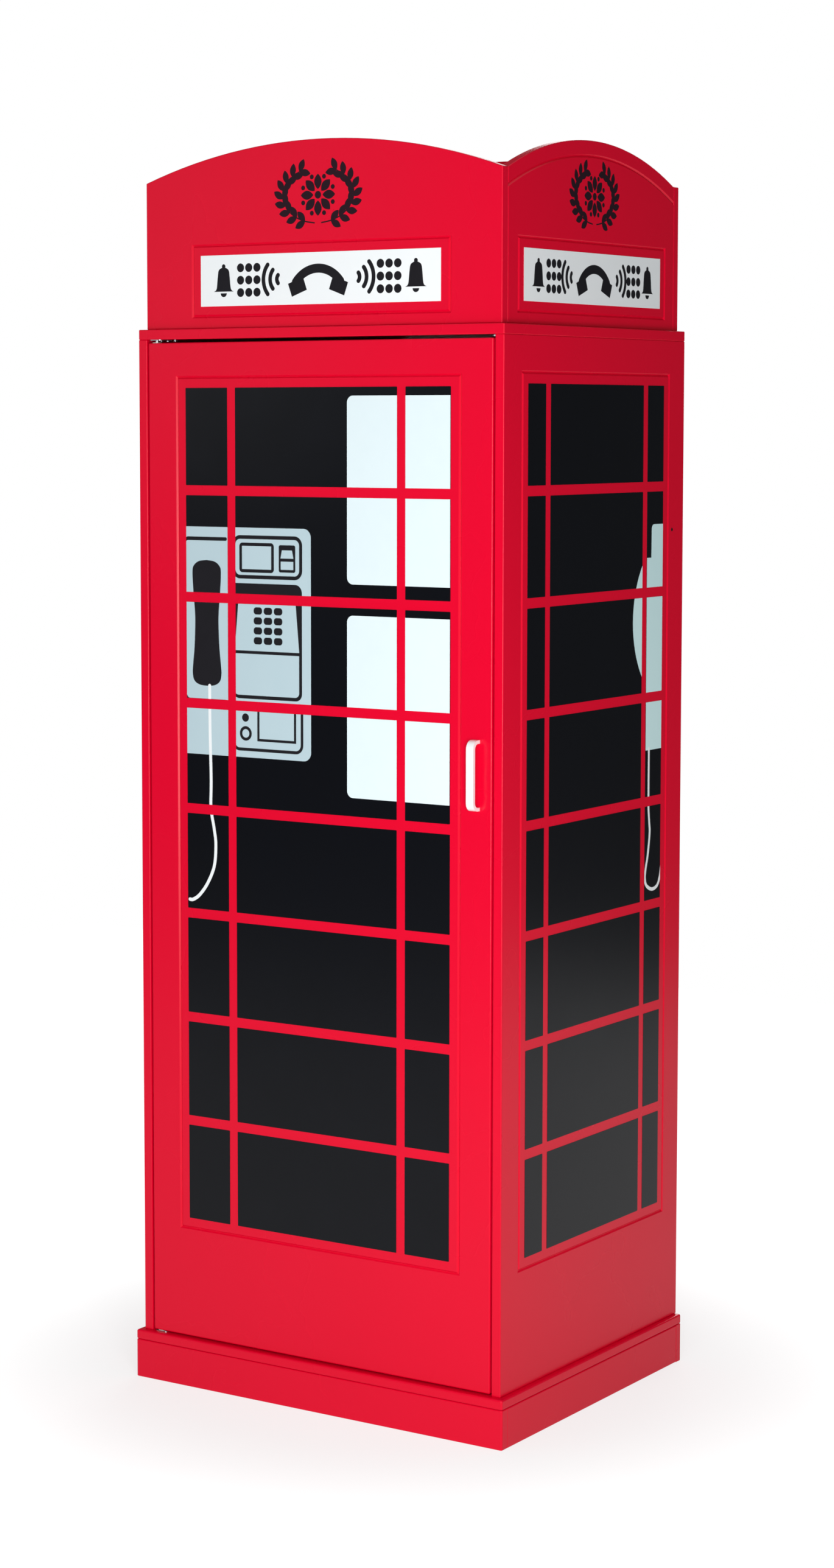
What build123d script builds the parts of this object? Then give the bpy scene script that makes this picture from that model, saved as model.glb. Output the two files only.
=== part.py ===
"""One-door wardrobe styled as a telephone booth, in painted fibreboard.

Millimetres, +Z up, front towards -Y, the origin on the floor under the middle of the overall box.
"""
import os
from build123d import *

os.makedirs("parts", exist_ok=True)

# Boards and carcass
board = 15.0                # thickness of every painted board
cabinet_width = 640.0       # over both side panels
cabinet_depth = 530.0       # side panels, front to back
inner_height = 1514.0       # base board to top board
plinth_height = 58.5
base_reach_side = 9.0       # base board and plinth beyond the side panels
base_reach_front = 10.0
header_inset_side = 9.0     # header box behind the edges of the top board
header_inset_front = 9.0
header_inset_back = 7.0
header_shoulder = 216.5     # header boards at their ends
header_rise = 52.0          # arches above their ends
edge_ease = 1.5             # rounding of board edges
base_ease = 3.0             # rounding of the base board and the plinth corners

# Routed V grooves
groove_width = 5.0
groove_depth = 2.2
groove_draft = 45.0
groove_gap = 15.6           # groove centre line outside the panes
sign_groove_gap = 14.5      # groove centre line outside the signs
arch_groove_drop = 22.5     # groove on the side arches below their edge

# Panes: dark films in a grid, split by bars of painted board
pane_rows = 8
pane_bar_row = 14.9
door_pane_margins = (186.5, 72.0)   # panes above the base board, and below the top board
side_pane_margins = (190.5, 68.0)
door_pane_edge = 72.25      # panes inside the door opening
side_pane_edge = 65.4       # panes inside the edges of a side panel
door_pane_narrow = 76.1
side_pane_narrow = 49.4
door_pane_bar = 14.4
side_pane_bar = 13.6
film = 0.3
film_corner = 1.0

# Signs on the header
sign_margin_front = 101.0   # header board beside the sign
sign_margin_side = 58.0
sign_lift = 32.5            # above the top board
sign_height = 74.5
sign_thickness = 0.4

# Door and its handle
door_gap_side = 3.0
door_gap_top = 5.0
door_gap_bottom = 2.4
door_ease = 2.0
handle_height = 894.5       # handle middle above the base board
handle_centres = 96.0
handle_strip = (12.0, 5.0)  # width and thickness
handle_reach = 18.0
handle_bend = 13.0
handle_soft = 0.8

# Door pivots
pivot_from_edge = 11.0      # pivot axis inside the hinge edge of the door
pivot_pin_radius = 3.0
pivot_pin_in_board = 9.0
pivot_pin_in_door = 18.0
bush_wall = 1.95
bush_length = 20.0
bush_flange = (2.0, 0.8)    # reach beyond the bush, and thickness
plate_thickness = 1.2
plate_width = 22.0
plate_length = 30.0
plate_setback = 1.0
plate_screw_place = 26.0    # behind the cabinet front
plate_screw_spread = 6.0    # to each side of the pivot

# Magnetic catch
catch_width = 16.0
catch_depth = 26.0
catch_height = 38.0
catch_ear = 12.0
catch_ear_thickness = 2.5
magnet_size = (6.0, 16.0, 28.0)
pole_thickness = 1.2
pole_reach = 0.8
strike_size = (12.0, 1.6, 40.0)
strike_from_edge = 6.5      # strike middle inside the free edge of the door
catch_air = 0.3

# Shelf, rail and their fixings
shelf_height = 1221.0       # shelf underside above the base board
shelf_setback = 40.0
shelf_air = 0.5
shelf_pin_radius = 2.5
shelf_pin_reach = 8.0       # in the side panel and out of it
shelf_pin_place = 50.0      # behind the shelf's front edge
shelf_screw_inset = 36.0    # in front of the back edge
rail_drop = 55.0            # rail axis under the shelf
rail_radius = 12.5
rail_wall = 1.2
socket_base = 3.0           # flange of a rail socket
socket_wall = 3.0           # ring around the rail
socket_cup = 12.0           # depth of the ring
socket_rim = 5.5            # flange beyond its screws
socket_clear = 2.0          # ring to screw head

# Knock-down fittings
fitting_inset = 60.0        # cam middle from the front and back edges
cam_height = 34.0           # cam axis from the end of a side panel
cam_radius = 7.5
cam_depth = 12.3
bolt_radius = 3.5
bolt_thread = (2.5, 10.0)
bolt_past_cam = 2.0
bolt_room_in_cam = 0.3
dowel_radius = 4.0
dowel_spacing = 32.0
dowel_in_board = 10.0
dowel_in_panel = 20.0
header_block = 30.0         # section of the corner blocks in the header
header_block_height = 110.0
plinth_block_lift = 2.0
corner_screw_bite = 25.0    # vertical corner screws in their blocks
block_screw_bite = 10.0     # block screws in their boards
block_screw_steps = (7.5, 12.0)  # past a vertical screw, then from one block screw to the other
header_screw_lift = 12.5    # more room in the taller header blocks

# Back panel and wall bracket
back_thickness = 3.0
back_recess = 5.0           # depth of the rebate in the side panels
back_overlap = 8.0          # width of the rebate
back_air = 0.5
vent_gap = 8.0              # back panel under the top board
nail_radius = 0.8
nail_head = (2.4, 0.8)
nail_bite = 12.0
nails_per_side = 10
nail_end = 40.0
bracket_size = (40.0, 35.0, 45.0, 2.0)  # width, top leg, back leg, thickness
bracket_wall_hole = 3.0
bracket_hole_drop = 30.0
bracket_slot = 14.0         # slot in the back panel for the wall screw
bracket_screw_spread = 12.0

# Screws: shank radius, head radius, head height
wood_screw = (2.0, 4.2, 2.2)
shelf_screw = (1.5, 2.7, 1.2)
small_screw = (1.5, 3.0, 1.5)
plate_screw = (1.5, 2.8, 1.3)
small_bite = 9.0
fit = 0.05                  # radial clearance of a pin or shank in its hole
end_air = 0.5               # room past the end of a pin or shank
recess_share = 0.55         # depth of the driver cross in a screw head

# Places that follow from the sizes above
half_width = cabinet_width / 2
half_inner = half_width - board
front_y = (handle_reach - cabinet_depth) / 2
back_y = front_y + cabinet_depth
base_z = plinth_height
base_top = base_z + board
top_z = base_top + inner_height
header_z = top_z + board
door_half = half_inner - door_gap_side
door_bottom = base_top + door_gap_bottom
door_top = top_z - door_gap_top
door_back = front_y + board
back_front = back_y - back_recess
plinth_half = half_width + base_reach_side
plinth_front_y = front_y - base_reach_front
header_half = half_width - header_inset_side
header_front_y = front_y + header_inset_front
header_back_y = back_y - header_inset_back
pivot_x = -(door_half - pivot_from_edge)
pivot_y = front_y + board / 2
bush_radius = pivot_pin_radius + fit + bush_wall
flange_radius = bush_radius + bush_flange[0]
socket_ring_radius = rail_radius + socket_wall
socket_screw_circle = socket_ring_radius + small_screw[1] + socket_clear
socket_radius = socket_screw_circle + socket_rim
plate_screw_y = front_y + plate_screw_place
plate_screw_xs = (pivot_x - plate_screw_spread, pivot_x + plate_screw_spread)
handle_z = base_top + handle_height
stile_outer = door_half
stile_inner = half_inner - door_pane_edge + groove_gap + groove_width / 2
handle_x = (stile_outer + stile_inner) / 2
shelf_z = base_top + shelf_height
rail_z = shelf_z - rail_drop
plinth_screw_z = base_z - corner_screw_bite - block_screw_steps[0]
plinth_block_screws = (plinth_screw_z - block_screw_steps[1], plinth_screw_z)
header_screw_z = corner_screw_bite + block_screw_steps[0] + header_screw_lift
header_block_screws = (header_screw_z, header_screw_z + 2 * block_screw_steps[1])
middle_y = (front_y + back_y) / 2
corner_x = header_half - board - header_block / 2
corner_rows = (header_front_y + board + header_block / 2, header_back_y - board - header_block / 2)
sides = {"left": -1, "right": 1}
fitting_rows = (front_y + fitting_inset, back_y - fitting_inset)
dowel_rows = (fitting_rows[0] + dowel_spacing, fitting_rows[1] - dowel_spacing)
joint_x = half_inner + board / 2
sign_z = header_z + sign_lift + sign_height / 2


def facing(side, x, y=0.0, z=0.0):
    """Plane on one side of the cabinet that looks outwards (side 1 is +X), with +Z up its sheet."""
    return Plane(origin=(x, y, z), x_dir=(0, side, 0), z_dir=(side, 0, 0))


def fronting(x, y, z):
    """Plane that looks forwards, towards -Y."""
    return Plane(origin=(x, y, z), x_dir=(1, 0, 0), z_dir=(0, -1, 0))


def backing(x, y, z):
    """Plane that looks backwards, towards +Y."""
    return Plane(origin=(x, y, z), x_dir=(-1, 0, 0), z_dir=(0, 1, 0))


def upward(x, y, z):
    """Plane that looks up."""
    return Plane(origin=(x, y, z), z_dir=(0, 0, 1), x_dir=(1, 0, 0))


def downward(x, y, z):
    """Plane that looks down."""
    return Plane(origin=(x, y, z), z_dir=(0, 0, -1), x_dir=(1, 0, 0))


def slab(low, high, mode=Mode.ADD):
    """Adds or cuts the box between two corners."""
    with BuildSketch(upward((low[0] + high[0]) / 2, (low[1] + high[1]) / 2, low[2])) as outline:
        Rectangle(high[0] - low[0], high[1] - low[1])
    extrude(outline.sketch, amount=high[2] - low[2], mode=mode)


def rod(plane, radius, length):
    """Adds a cylinder that runs from the plane along its normal."""
    with BuildSketch(plane) as outline:
        Circle(radius)
    extrude(outline.sketch, amount=length)


def bore(plane, radius, depth):
    """Cuts a round hole from the plane against its normal."""
    with BuildSketch(plane) as outline:
        Circle(radius)
    extrude(outline.sketch, amount=-depth, mode=Mode.SUBTRACT)


def sink(plane, screw_kind):
    """Cuts the seat of a countersunk head, which ends flush with the plane."""
    with BuildSketch(plane) as outline:
        Circle(screw_kind[1] + fit)
    extrude(outline.sketch, amount=fit - screw_kind[1] + screw_kind[0], taper=45, mode=Mode.SUBTRACT)


def driver_cross(plane, head_radius, depth):
    """Cuts the driver cross into a screw head."""
    with BuildSketch(plane) as outline:
        Rectangle(1.2 * head_radius, 0.25 * head_radius)
        Rectangle(0.25 * head_radius, 1.2 * head_radius)
    extrude(outline.sketch, amount=-depth, mode=Mode.SUBTRACT)


def pan_screw(plane, screw_kind, length):
    """Adds a screw whose head stands on the plane, its shank running against the normal."""
    shank, head, height = screw_kind
    rod(plane.offset(-length), shank, length)
    rod(plane, head, height)
    driver_cross(plane.offset(height), head, recess_share * height)


def sunk_screw(plane, screw_kind, length):
    """Adds a countersunk screw with its head flush with the plane."""
    shank, head, height = screw_kind
    rod(plane.offset(-length), shank, length)
    with BuildSketch(plane) as outline:
        Circle(head)
    extrude(outline.sketch, amount=shank - head, taper=45)
    driver_cross(plane, head, recess_share * height)


def frame_groove(plane, width, height):
    """Routes a rectangle of V groove, given by its centre line, into a face."""
    with BuildSketch(plane) as outline:
        Rectangle(width + groove_width, height + groove_width)
        Rectangle(width - groove_width, height - groove_width, mode=Mode.SUBTRACT)
    extrude(outline.sketch, amount=-groove_depth, taper=groove_draft, mode=Mode.SUBTRACT)


def arched_outline(width, shoulder, rise):
    """Draws a board with an arched top edge, its bottom middle at the sketch origin."""
    with BuildLine() as outline:
        Polyline((width / 2, shoulder), (width / 2, 0), (-width / 2, 0), (-width / 2, shoulder))
        ThreePointArc((-width / 2, shoulder), (0, shoulder + rise), (width / 2, shoulder))
    make_face(outline.edges())


def pane_columns(block, narrow, bar):
    """Middles and widths of the three columns of panes."""
    centre = block - 2 * (narrow + bar)
    outer = (block - narrow) / 2
    return ((-outer, narrow), (0.0, centre), (outer, narrow))


def pane_grid(plane, block, narrow, bar, margins):
    """Adds one film for each pane. The plane lies at the base board's height."""
    height = (inner_height - sum(margins) - (pane_rows - 1) * pane_bar_row) / pane_rows
    with BuildSketch(plane) as outline:
        for row in range(pane_rows):
            middle = margins[0] + height / 2 + row * (height + pane_bar_row)
            for across, width in pane_columns(block, narrow, bar):
                with Locations((across, middle)):
                    RectangleRounded(width, height, film_corner)
    extrude(outline.sketch, amount=film)


door_block = 2 * (half_inner - door_pane_edge)
side_block = cabinet_depth - 2 * side_pane_edge
door_block_middle = (base_top + door_pane_margins[0] + top_z - door_pane_margins[1]) / 2
side_block_middle = (base_top + side_pane_margins[0] + top_z - side_pane_margins[1]) / 2
door_block_height = inner_height - sum(door_pane_margins)
side_block_height = inner_height - sum(side_pane_margins)
nail_step = (inner_height - vent_gap - 2 * nail_end) / (nails_per_side - 1)
nail_heights = [base_top + nail_end + nail_step * i for i in range(nails_per_side)]
nail_x = half_inner + back_overlap / 2
nail_seat_y = back_front + back_thickness
shelf_pin_y = front_y + shelf_setback + shelf_pin_place
shelf_pin_z = shelf_z - shelf_pin_radius - fit
shelf_screw_y = back_y - shelf_screw_inset
shelf_screw_z = shelf_z + board / 2
catch_front_y = door_back + strike_size[1] + catch_air + pole_reach
catch_screw_reach = catch_height / 2 + catch_ear / 2
catch_screw_y = catch_front_y + catch_depth / 2
catch_x = half_inner - catch_width / 2
bracket_screw_y = back_front - bracket_size[1] * 0.6

# ---- Cabinet: side panels ----
for name, side in sides.items():
    with BuildPart() as side_panel:
        near, far = sorted((side * half_inner, side * half_width))
        slab((near, front_y, base_top), (far, back_y, top_z))
        fillet(side_panel.edges(), edge_ease)
        rebate_low, rebate_high = sorted((side * (half_inner - edge_ease), side * (half_inner + back_overlap)))
        with BuildSketch(upward((rebate_low + rebate_high) / 2, back_y - back_recess / 2, base_top)):
            Rectangle(rebate_high - rebate_low, back_recess)
        extrude(amount=inner_height, mode=Mode.SUBTRACT)
        frame_groove(
            facing(side, side * half_width, middle_y, side_block_middle),
            side_block + 2 * groove_gap,
            side_block_height + 2 * groove_gap,
        )
        for row_y in fitting_rows:
            for end_z, turn in ((base_top, downward), (top_z, upward)):
                bore(turn(side * joint_x, row_y, end_z), bolt_radius + 2 * fit, cam_height)
            for cam_z in (base_top + cam_height, top_z - cam_height):
                bore(facing(-side, side * half_inner, row_y, cam_z), cam_radius + fit, cam_depth + fit)
        for row_y in dowel_rows:
            for end_z, turn in ((base_top, downward), (top_z, upward)):
                bore(turn(side * joint_x, row_y, end_z), dowel_radius + fit, dowel_in_panel + end_air)
        inner_face = facing(-side, side * half_inner, 0, 0)
        pin_face = facing(-side, side * half_inner, shelf_pin_y, shelf_pin_z)
        bore(pin_face, shelf_pin_radius + fit, shelf_pin_reach + end_air)
        screw_face = facing(side, side * half_width, shelf_screw_y, shelf_screw_z)
        bore(screw_face, shelf_screw[0] + fit, board)
        sink(screw_face, shelf_screw)
        for across in (-socket_screw_circle, socket_screw_circle):
            socket_face = facing(-side, side * half_inner, middle_y + across, rail_z)
            bore(socket_face, small_screw[0] + fit, small_bite + end_air)
        for nail_z in nail_heights:
            nail_face = backing(side * nail_x, back_front, nail_z)
            bore(nail_face, nail_radius + fit, nail_bite + end_air)
        if side > 0:
            for up in (-catch_screw_reach, catch_screw_reach):
                ear_face = facing(-side, side * half_inner, catch_screw_y, handle_z + up)
                bore(ear_face, small_screw[0] + fit, small_bite + end_air)
    side_panel.part.label = f"side_panel_{name}"
    export_step(side_panel.part, f"parts/side_panel_{name}.step")

    with BuildPart() as side_panes:
        pane_grid(
            facing(side, side * half_width, middle_y, base_top),
            side_block,
            side_pane_narrow,
            side_pane_bar,
            side_pane_margins,
        )
    side_panes.part.label = f"side_panes_{name}"
    export_step(side_panes.part, f"parts/side_panes_{name}.step")

# ---- Cabinet: top board, base board and back ----
with BuildPart() as top_board:
    slab((-half_width, front_y, top_z), (half_width, back_y, header_z))
    fillet(top_board.edges(), edge_ease)
    for side in sides.values():
        for row_y in fitting_rows:
            bore(downward(side * joint_x, row_y, top_z), bolt_thread[0] + fit, bolt_thread[1] + end_air)
        for row_y in dowel_rows:
            bore(downward(side * joint_x, row_y, top_z), dowel_radius + fit, dowel_in_board + end_air)
        for row_y in corner_rows:
            bore(downward(side * corner_x, row_y, top_z), wood_screw[0] + fit, board)
        bracket_face = downward(side * bracket_screw_spread, bracket_screw_y, top_z)
        bore(bracket_face, small_screw[0] + fit, small_bite + end_air)
    bore(downward(pivot_x, pivot_y, top_z), pivot_pin_radius + fit, pivot_pin_in_board + end_air)
    for screw_x in plate_screw_xs:
        bore(downward(screw_x, plate_screw_y, top_z), plate_screw[0] + fit, small_bite + end_air)
top_board.part.label = "top_board"
export_step(top_board.part, "parts/top_board.step")

with BuildPart() as base_board:
    slab((-plinth_half, plinth_front_y, base_z), (plinth_half, back_y, base_top))
    fillet(base_board.edges(), base_ease)
    for side in sides.values():
        for row_y in fitting_rows:
            bore(upward(side * joint_x, row_y, base_top), bolt_thread[0] + fit, bolt_thread[1] + end_air)
        for row_y in dowel_rows:
            bore(upward(side * joint_x, row_y, base_top), dowel_radius + fit, dowel_in_board + end_air)
        for row_y in corner_rows:
            bore(upward(side * corner_x, row_y, base_top), wood_screw[0] + fit, board)
            sink(upward(side * corner_x, row_y, base_top), wood_screw)
    bore(upward(pivot_x, pivot_y, base_top), pivot_pin_radius + fit, pivot_pin_in_board + end_air)
    for screw_x in plate_screw_xs:
        bore(upward(screw_x, plate_screw_y, base_top), plate_screw[0] + fit, small_bite + end_air)
base_board.part.label = "base_board"
export_step(base_board.part, "parts/base_board.step")

back_half = half_inner + back_overlap - back_air
with BuildPart() as back_panel:
    slab((-back_half, back_front, base_top), (back_half, back_front + back_thickness, top_z - vent_gap))
    for side in sides.values():
        for nail_z in nail_heights:
            nail_face = backing(side * nail_x, back_front + back_thickness, nail_z)
            bore(nail_face, nail_radius + fit, back_thickness)
    slot_low = (-bracket_slot / 2, back_front, top_z - bracket_hole_drop - bracket_slot / 2)
    slab(slot_low, (bracket_slot / 2, back_front + back_thickness, top_z), Mode.SUBTRACT)
back_panel.part.label = "back_panel"
export_step(back_panel.part, "parts/back_panel.step")

with BuildPart() as back_nails:
    for side in sides.values():
        for nail_z in nail_heights:
            head_face = backing(side * nail_x, nail_seat_y, nail_z)
            rod(head_face, *nail_head)
            rod(head_face.offset(-back_thickness - nail_bite), nail_radius, back_thickness + nail_bite)
back_nails.part.label = "back_nails"
export_step(back_nails.part, "parts/back_nails.step")

# ---- Plinth ----
with BuildPart() as plinth_front:
    slab((-plinth_half, plinth_front_y, 0), (plinth_half, plinth_front_y + board, base_z))
    fillet(plinth_front.edges().filter_by(Axis.Z).group_by(Axis.Y)[0], base_ease)
    fillet(plinth_front.faces().sort_by(Axis.Y)[0].edges().filter_by(Axis.X), edge_ease)
    for side in sides.values():
        screw_face = backing(side * corner_x, plinth_front_y + board, plinth_block_screws[0])
        bore(screw_face, wood_screw[0] + fit, block_screw_bite + end_air)
plinth_front.part.label = "plinth_front"
export_step(plinth_front.part, "parts/plinth_front.step")

with BuildPart() as plinth_back:
    slab((-plinth_half, back_y - board, 0), (plinth_half, back_y, base_z))
    fillet(plinth_back.edges().filter_by(Axis.Z).group_by(Axis.Y)[-1], base_ease)
    for side in sides.values():
        screw_face = fronting(side * corner_x, back_y - board, plinth_block_screws[0])
        bore(screw_face, wood_screw[0] + fit, block_screw_bite + end_air)
plinth_back.part.label = "plinth_back"
export_step(plinth_back.part, "parts/plinth_back.step")

for name, side in sides.items():
    with BuildPart() as plinth_side:
        near, far = sorted((side * (plinth_half - board), side * plinth_half))
        slab((near, plinth_front_y + board, 0), (far, back_y - board, base_z))
        outer_face = plinth_side.faces().sort_by(Axis.X)[0 if side < 0 else -1]
        fillet(outer_face.edges(), edge_ease)
        for row_y in corner_rows:
            screw_face = facing(-side, side * (plinth_half - board), row_y, plinth_block_screws[1])
            bore(screw_face, wood_screw[0] + fit, block_screw_bite + end_air)
    plinth_side.part.label = f"plinth_{name}"
    export_step(plinth_side.part, f"parts/plinth_{name}.step")

# Each plinth block fills the corner as far as the header block above it reaches.
block_half = header_block / 2
plinth_block_x = (corner_x - block_half, plinth_half - board)
plinth_block_rows = (
    (plinth_front_y + board, corner_rows[0] + block_half),
    (corner_rows[1] - block_half, back_y - board),
)
plinth_inner_rows = ((plinth_block_rows[0][1], backing), (plinth_block_rows[1][0], fronting))

with BuildPart() as plinth_blocks:
    for side in sides.values():
        low_x, high_x = sorted((side * plinth_block_x[0], side * plinth_block_x[1]))
        for (low_y, high_y), row_y, (inner_y, turn) in zip(plinth_block_rows, corner_rows, plinth_inner_rows):
            slab((low_x, low_y, plinth_block_lift), (high_x, high_y, base_z))
            bore(upward(side * corner_x, row_y, base_z), wood_screw[0] + fit, corner_screw_bite + end_air)
            along_y = turn(side * corner_x, inner_y, plinth_block_screws[0])
            bore(along_y, wood_screw[0] + fit, high_y - low_y)
            along_x = facing(-side, side * plinth_block_x[0], row_y, plinth_block_screws[1])
            bore(along_x, wood_screw[0] + fit, high_x - low_x)
plinth_blocks.part.label = "plinth_corner_blocks"
export_step(plinth_blocks.part, "parts/plinth_corner_blocks.step")

with BuildPart() as plinth_block_fixings:
    for side in sides.values():
        for (low_y, high_y), row_y, (inner_y, turn) in zip(plinth_block_rows, corner_rows, plinth_inner_rows):
            along_y = turn(side * corner_x, inner_y, plinth_block_screws[0])
            pan_screw(along_y, wood_screw, high_y - low_y + block_screw_bite)
            along_x = facing(-side, side * plinth_block_x[0], row_y, plinth_block_screws[1])
            pan_screw(along_x, wood_screw, plinth_block_x[1] - plinth_block_x[0] + block_screw_bite)
plinth_block_fixings.part.label = "plinth_block_screws"
export_step(plinth_block_fixings.part, "parts/plinth_block_screws.step")

with BuildPart() as base_screws:
    for side in sides.values():
        for row_y in corner_rows:
            head_face = upward(side * corner_x, row_y, base_top)
            sunk_screw(head_face, wood_screw, board + corner_screw_bite)
base_screws.part.label = "base_board_screws"
export_step(base_screws.part, "parts/base_board_screws.step")

# ---- Header ----
sign_front_width = 2 * (header_half - sign_margin_front)
header_depth = header_back_y - header_front_y
header_middle_y = (header_front_y + header_back_y) / 2
sign_side_width = header_depth - 2 * sign_margin_side
side_length = header_depth - 2 * board
sign_groove_height = sign_height + 2 * sign_groove_gap

with BuildPart() as header_front:
    with BuildSketch(fronting(0, header_front_y + board, header_z)):
        arched_outline(2 * header_half, header_shoulder, header_rise)
    extrude(amount=board)
    fillet(header_front.edges(), edge_ease)
    frame_groove(
        fronting(0, header_front_y, sign_z), sign_front_width + 2 * sign_groove_gap, sign_groove_height
    )
    for side in sides.values():
        screw_face = backing(side * corner_x, header_front_y + board, header_z + header_block_screws[0])
        bore(screw_face, wood_screw[0] + fit, block_screw_bite + end_air)
header_front.part.label = "header_front"
export_step(header_front.part, "parts/header_front.step")

with BuildPart() as header_back:
    with BuildSketch(backing(0, header_back_y - board, header_z)):
        arched_outline(2 * header_half, header_shoulder, header_rise)
    extrude(amount=board)
    fillet(header_back.edges(), edge_ease)
    for side in sides.values():
        screw_face = fronting(side * corner_x, header_back_y - board, header_z + header_block_screws[0])
        bore(screw_face, wood_screw[0] + fit, block_screw_bite + end_air)
header_back.part.label = "header_back"
export_step(header_back.part, "parts/header_back.step")

arch_radius = (header_rise ** 2 + (side_length / 2) ** 2) / (2 * header_rise)
arch_centre_z = header_shoulder + header_rise - arch_radius
for name, side in sides.items():
    with BuildPart() as header_side:
        with BuildSketch(facing(side, side * (header_half - board), header_middle_y, header_z)):
            arched_outline(side_length, header_shoulder, header_rise)
        extrude(amount=board)
        fillet(header_side.edges(), edge_ease)
        outer_face = facing(side, side * header_half, header_middle_y, sign_z)
        frame_groove(outer_face, sign_side_width + 2 * sign_groove_gap, sign_groove_height)
        with BuildSketch(facing(side, side * header_half, header_middle_y, header_z + arch_centre_z)):
            Circle(arch_radius - arch_groove_drop + groove_width / 2)
            Circle(arch_radius - arch_groove_drop - groove_width / 2, mode=Mode.SUBTRACT)
            with Locations((0, -arch_radius)):
                Rectangle(3 * arch_radius, 2 * arch_radius + header_shoulder, mode=Mode.SUBTRACT)
        extrude(amount=-groove_depth, taper=groove_draft, mode=Mode.SUBTRACT)
        for row_y in corner_rows:
            screw_z = header_z + header_block_screws[1]
            screw_face = facing(-side, side * (header_half - board), row_y, screw_z)
            bore(screw_face, wood_screw[0] + fit, block_screw_bite + end_air)
    header_side.part.label = f"header_{name}"
    export_step(header_side.part, f"parts/header_{name}.step")

    with BuildPart() as sign_side:
        with BuildSketch(facing(side, side * header_half, header_middle_y, sign_z)):
            Rectangle(sign_side_width, sign_height)
        extrude(amount=sign_thickness)
    sign_side.part.label = f"sign_{name}"
    export_step(sign_side.part, f"parts/sign_{name}.step")

with BuildPart() as sign_front:
    with BuildSketch(fronting(0, header_front_y, sign_z)):
        Rectangle(sign_front_width, sign_height)
    extrude(amount=sign_thickness)
sign_front.part.label = "sign_front"
export_step(sign_front.part, "parts/sign_front.step")

with BuildPart() as header_blocks:
    for side in sides.values():
        for row_y, turn, inner in ((corner_rows[0], backing, block_half), (corner_rows[1], fronting, -block_half)):
            low = (side * corner_x - block_half, row_y - block_half, header_z)
            high = (side * corner_x + block_half, row_y + block_half, header_z + header_block_height)
            slab(low, high)
            bore(downward(side * corner_x, row_y, header_z), wood_screw[0] + fit, corner_screw_bite + end_air)
            along_y = turn(side * corner_x, row_y + inner, header_z + header_block_screws[0])
            bore(along_y, wood_screw[0] + fit, header_block)
            block_face_x = side * (corner_x - block_half)
            along_x = facing(-side, block_face_x, row_y, header_z + header_block_screws[1])
            bore(along_x, wood_screw[0] + fit, header_block)
header_blocks.part.label = "header_corner_blocks"
export_step(header_blocks.part, "parts/header_corner_blocks.step")

with BuildPart() as header_block_fixings:
    for side in sides.values():
        for row_y, turn, inner in ((corner_rows[0], backing, block_half), (corner_rows[1], fronting, -block_half)):
            along_y = turn(side * corner_x, row_y + inner, header_z + header_block_screws[0])
            pan_screw(along_y, wood_screw, header_block + block_screw_bite)
            block_face_x = side * (corner_x - block_half)
            along_x = facing(-side, block_face_x, row_y, header_z + header_block_screws[1])
            pan_screw(along_x, wood_screw, header_block + block_screw_bite)
header_block_fixings.part.label = "header_block_screws"
export_step(header_block_fixings.part, "parts/header_block_screws.step")

with BuildPart() as header_screws:
    for side in sides.values():
        for row_y in corner_rows:
            pan_screw(downward(side * corner_x, row_y, top_z), wood_screw, board + corner_screw_bite)
header_screws.part.label = "top_board_screws"
export_step(header_screws.part, "parts/top_board_screws.step")

# ---- Knock-down fittings ----
joint_ends = ((base_top, 1), (top_z, -1))
with BuildPart() as cam_locks:
    for side in sides.values():
        for row_y in fitting_rows:
            for end_z, up in joint_ends:
                cam_z = end_z + up * cam_height
                rod(facing(side, side * half_inner, row_y, cam_z), cam_radius, cam_depth)
                entry = downward if up > 0 else upward
                entry_z = cam_z - up * cam_radius
                hole_depth = cam_radius + bolt_past_cam + bolt_room_in_cam
                bore(entry(side * joint_x, row_y, entry_z), bolt_radius + bolt_room_in_cam, hole_depth)
                driver_cross(facing(-side, side * half_inner, row_y, cam_z), cam_radius, bolt_past_cam)
cam_locks.part.label = "cam_locks"
export_step(cam_locks.part, "parts/cam_locks.step")

with BuildPart() as cam_bolts:
    for side in sides.values():
        for row_y in fitting_rows:
            for end_z, up in joint_ends:
                into_panel, into_board = (upward, downward) if up > 0 else (downward, upward)
                foot = (side * joint_x, row_y, end_z)
                rod(into_panel(*foot), bolt_radius, cam_height + bolt_past_cam)
                rod(into_board(*foot), *bolt_thread)
cam_bolts.part.label = "cam_bolts"
export_step(cam_bolts.part, "parts/cam_bolts.step")

with BuildPart() as dowels:
    for side in sides.values():
        for row_y in dowel_rows:
            for end_z, up in joint_ends:
                start = end_z - up * dowel_in_board if up > 0 else end_z - dowel_in_panel
                rod(upward(side * joint_x, row_y, start), dowel_radius, dowel_in_board + dowel_in_panel)
dowels.part.label = "dowels"
export_step(dowels.part, "parts/dowels.step")

# ---- Shelf and hanging rail ----
shelf_half = half_inner - shelf_air
with BuildPart() as shelf:
    shelf_low = (-shelf_half, front_y + shelf_setback, shelf_z)
    slab(shelf_low, (shelf_half, back_front - shelf_air, shelf_z + board))
    fillet(shelf.edges().group_by(Axis.Y)[0].filter_by(Axis.X), edge_ease)
    for side in sides.values():
        end_face = facing(side, side * shelf_half, shelf_screw_y, shelf_screw_z)
        bore(end_face, shelf_screw[0] + fit, corner_screw_bite + end_air)
shelf.part.label = "shelf"
export_step(shelf.part, "parts/shelf.step")

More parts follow.
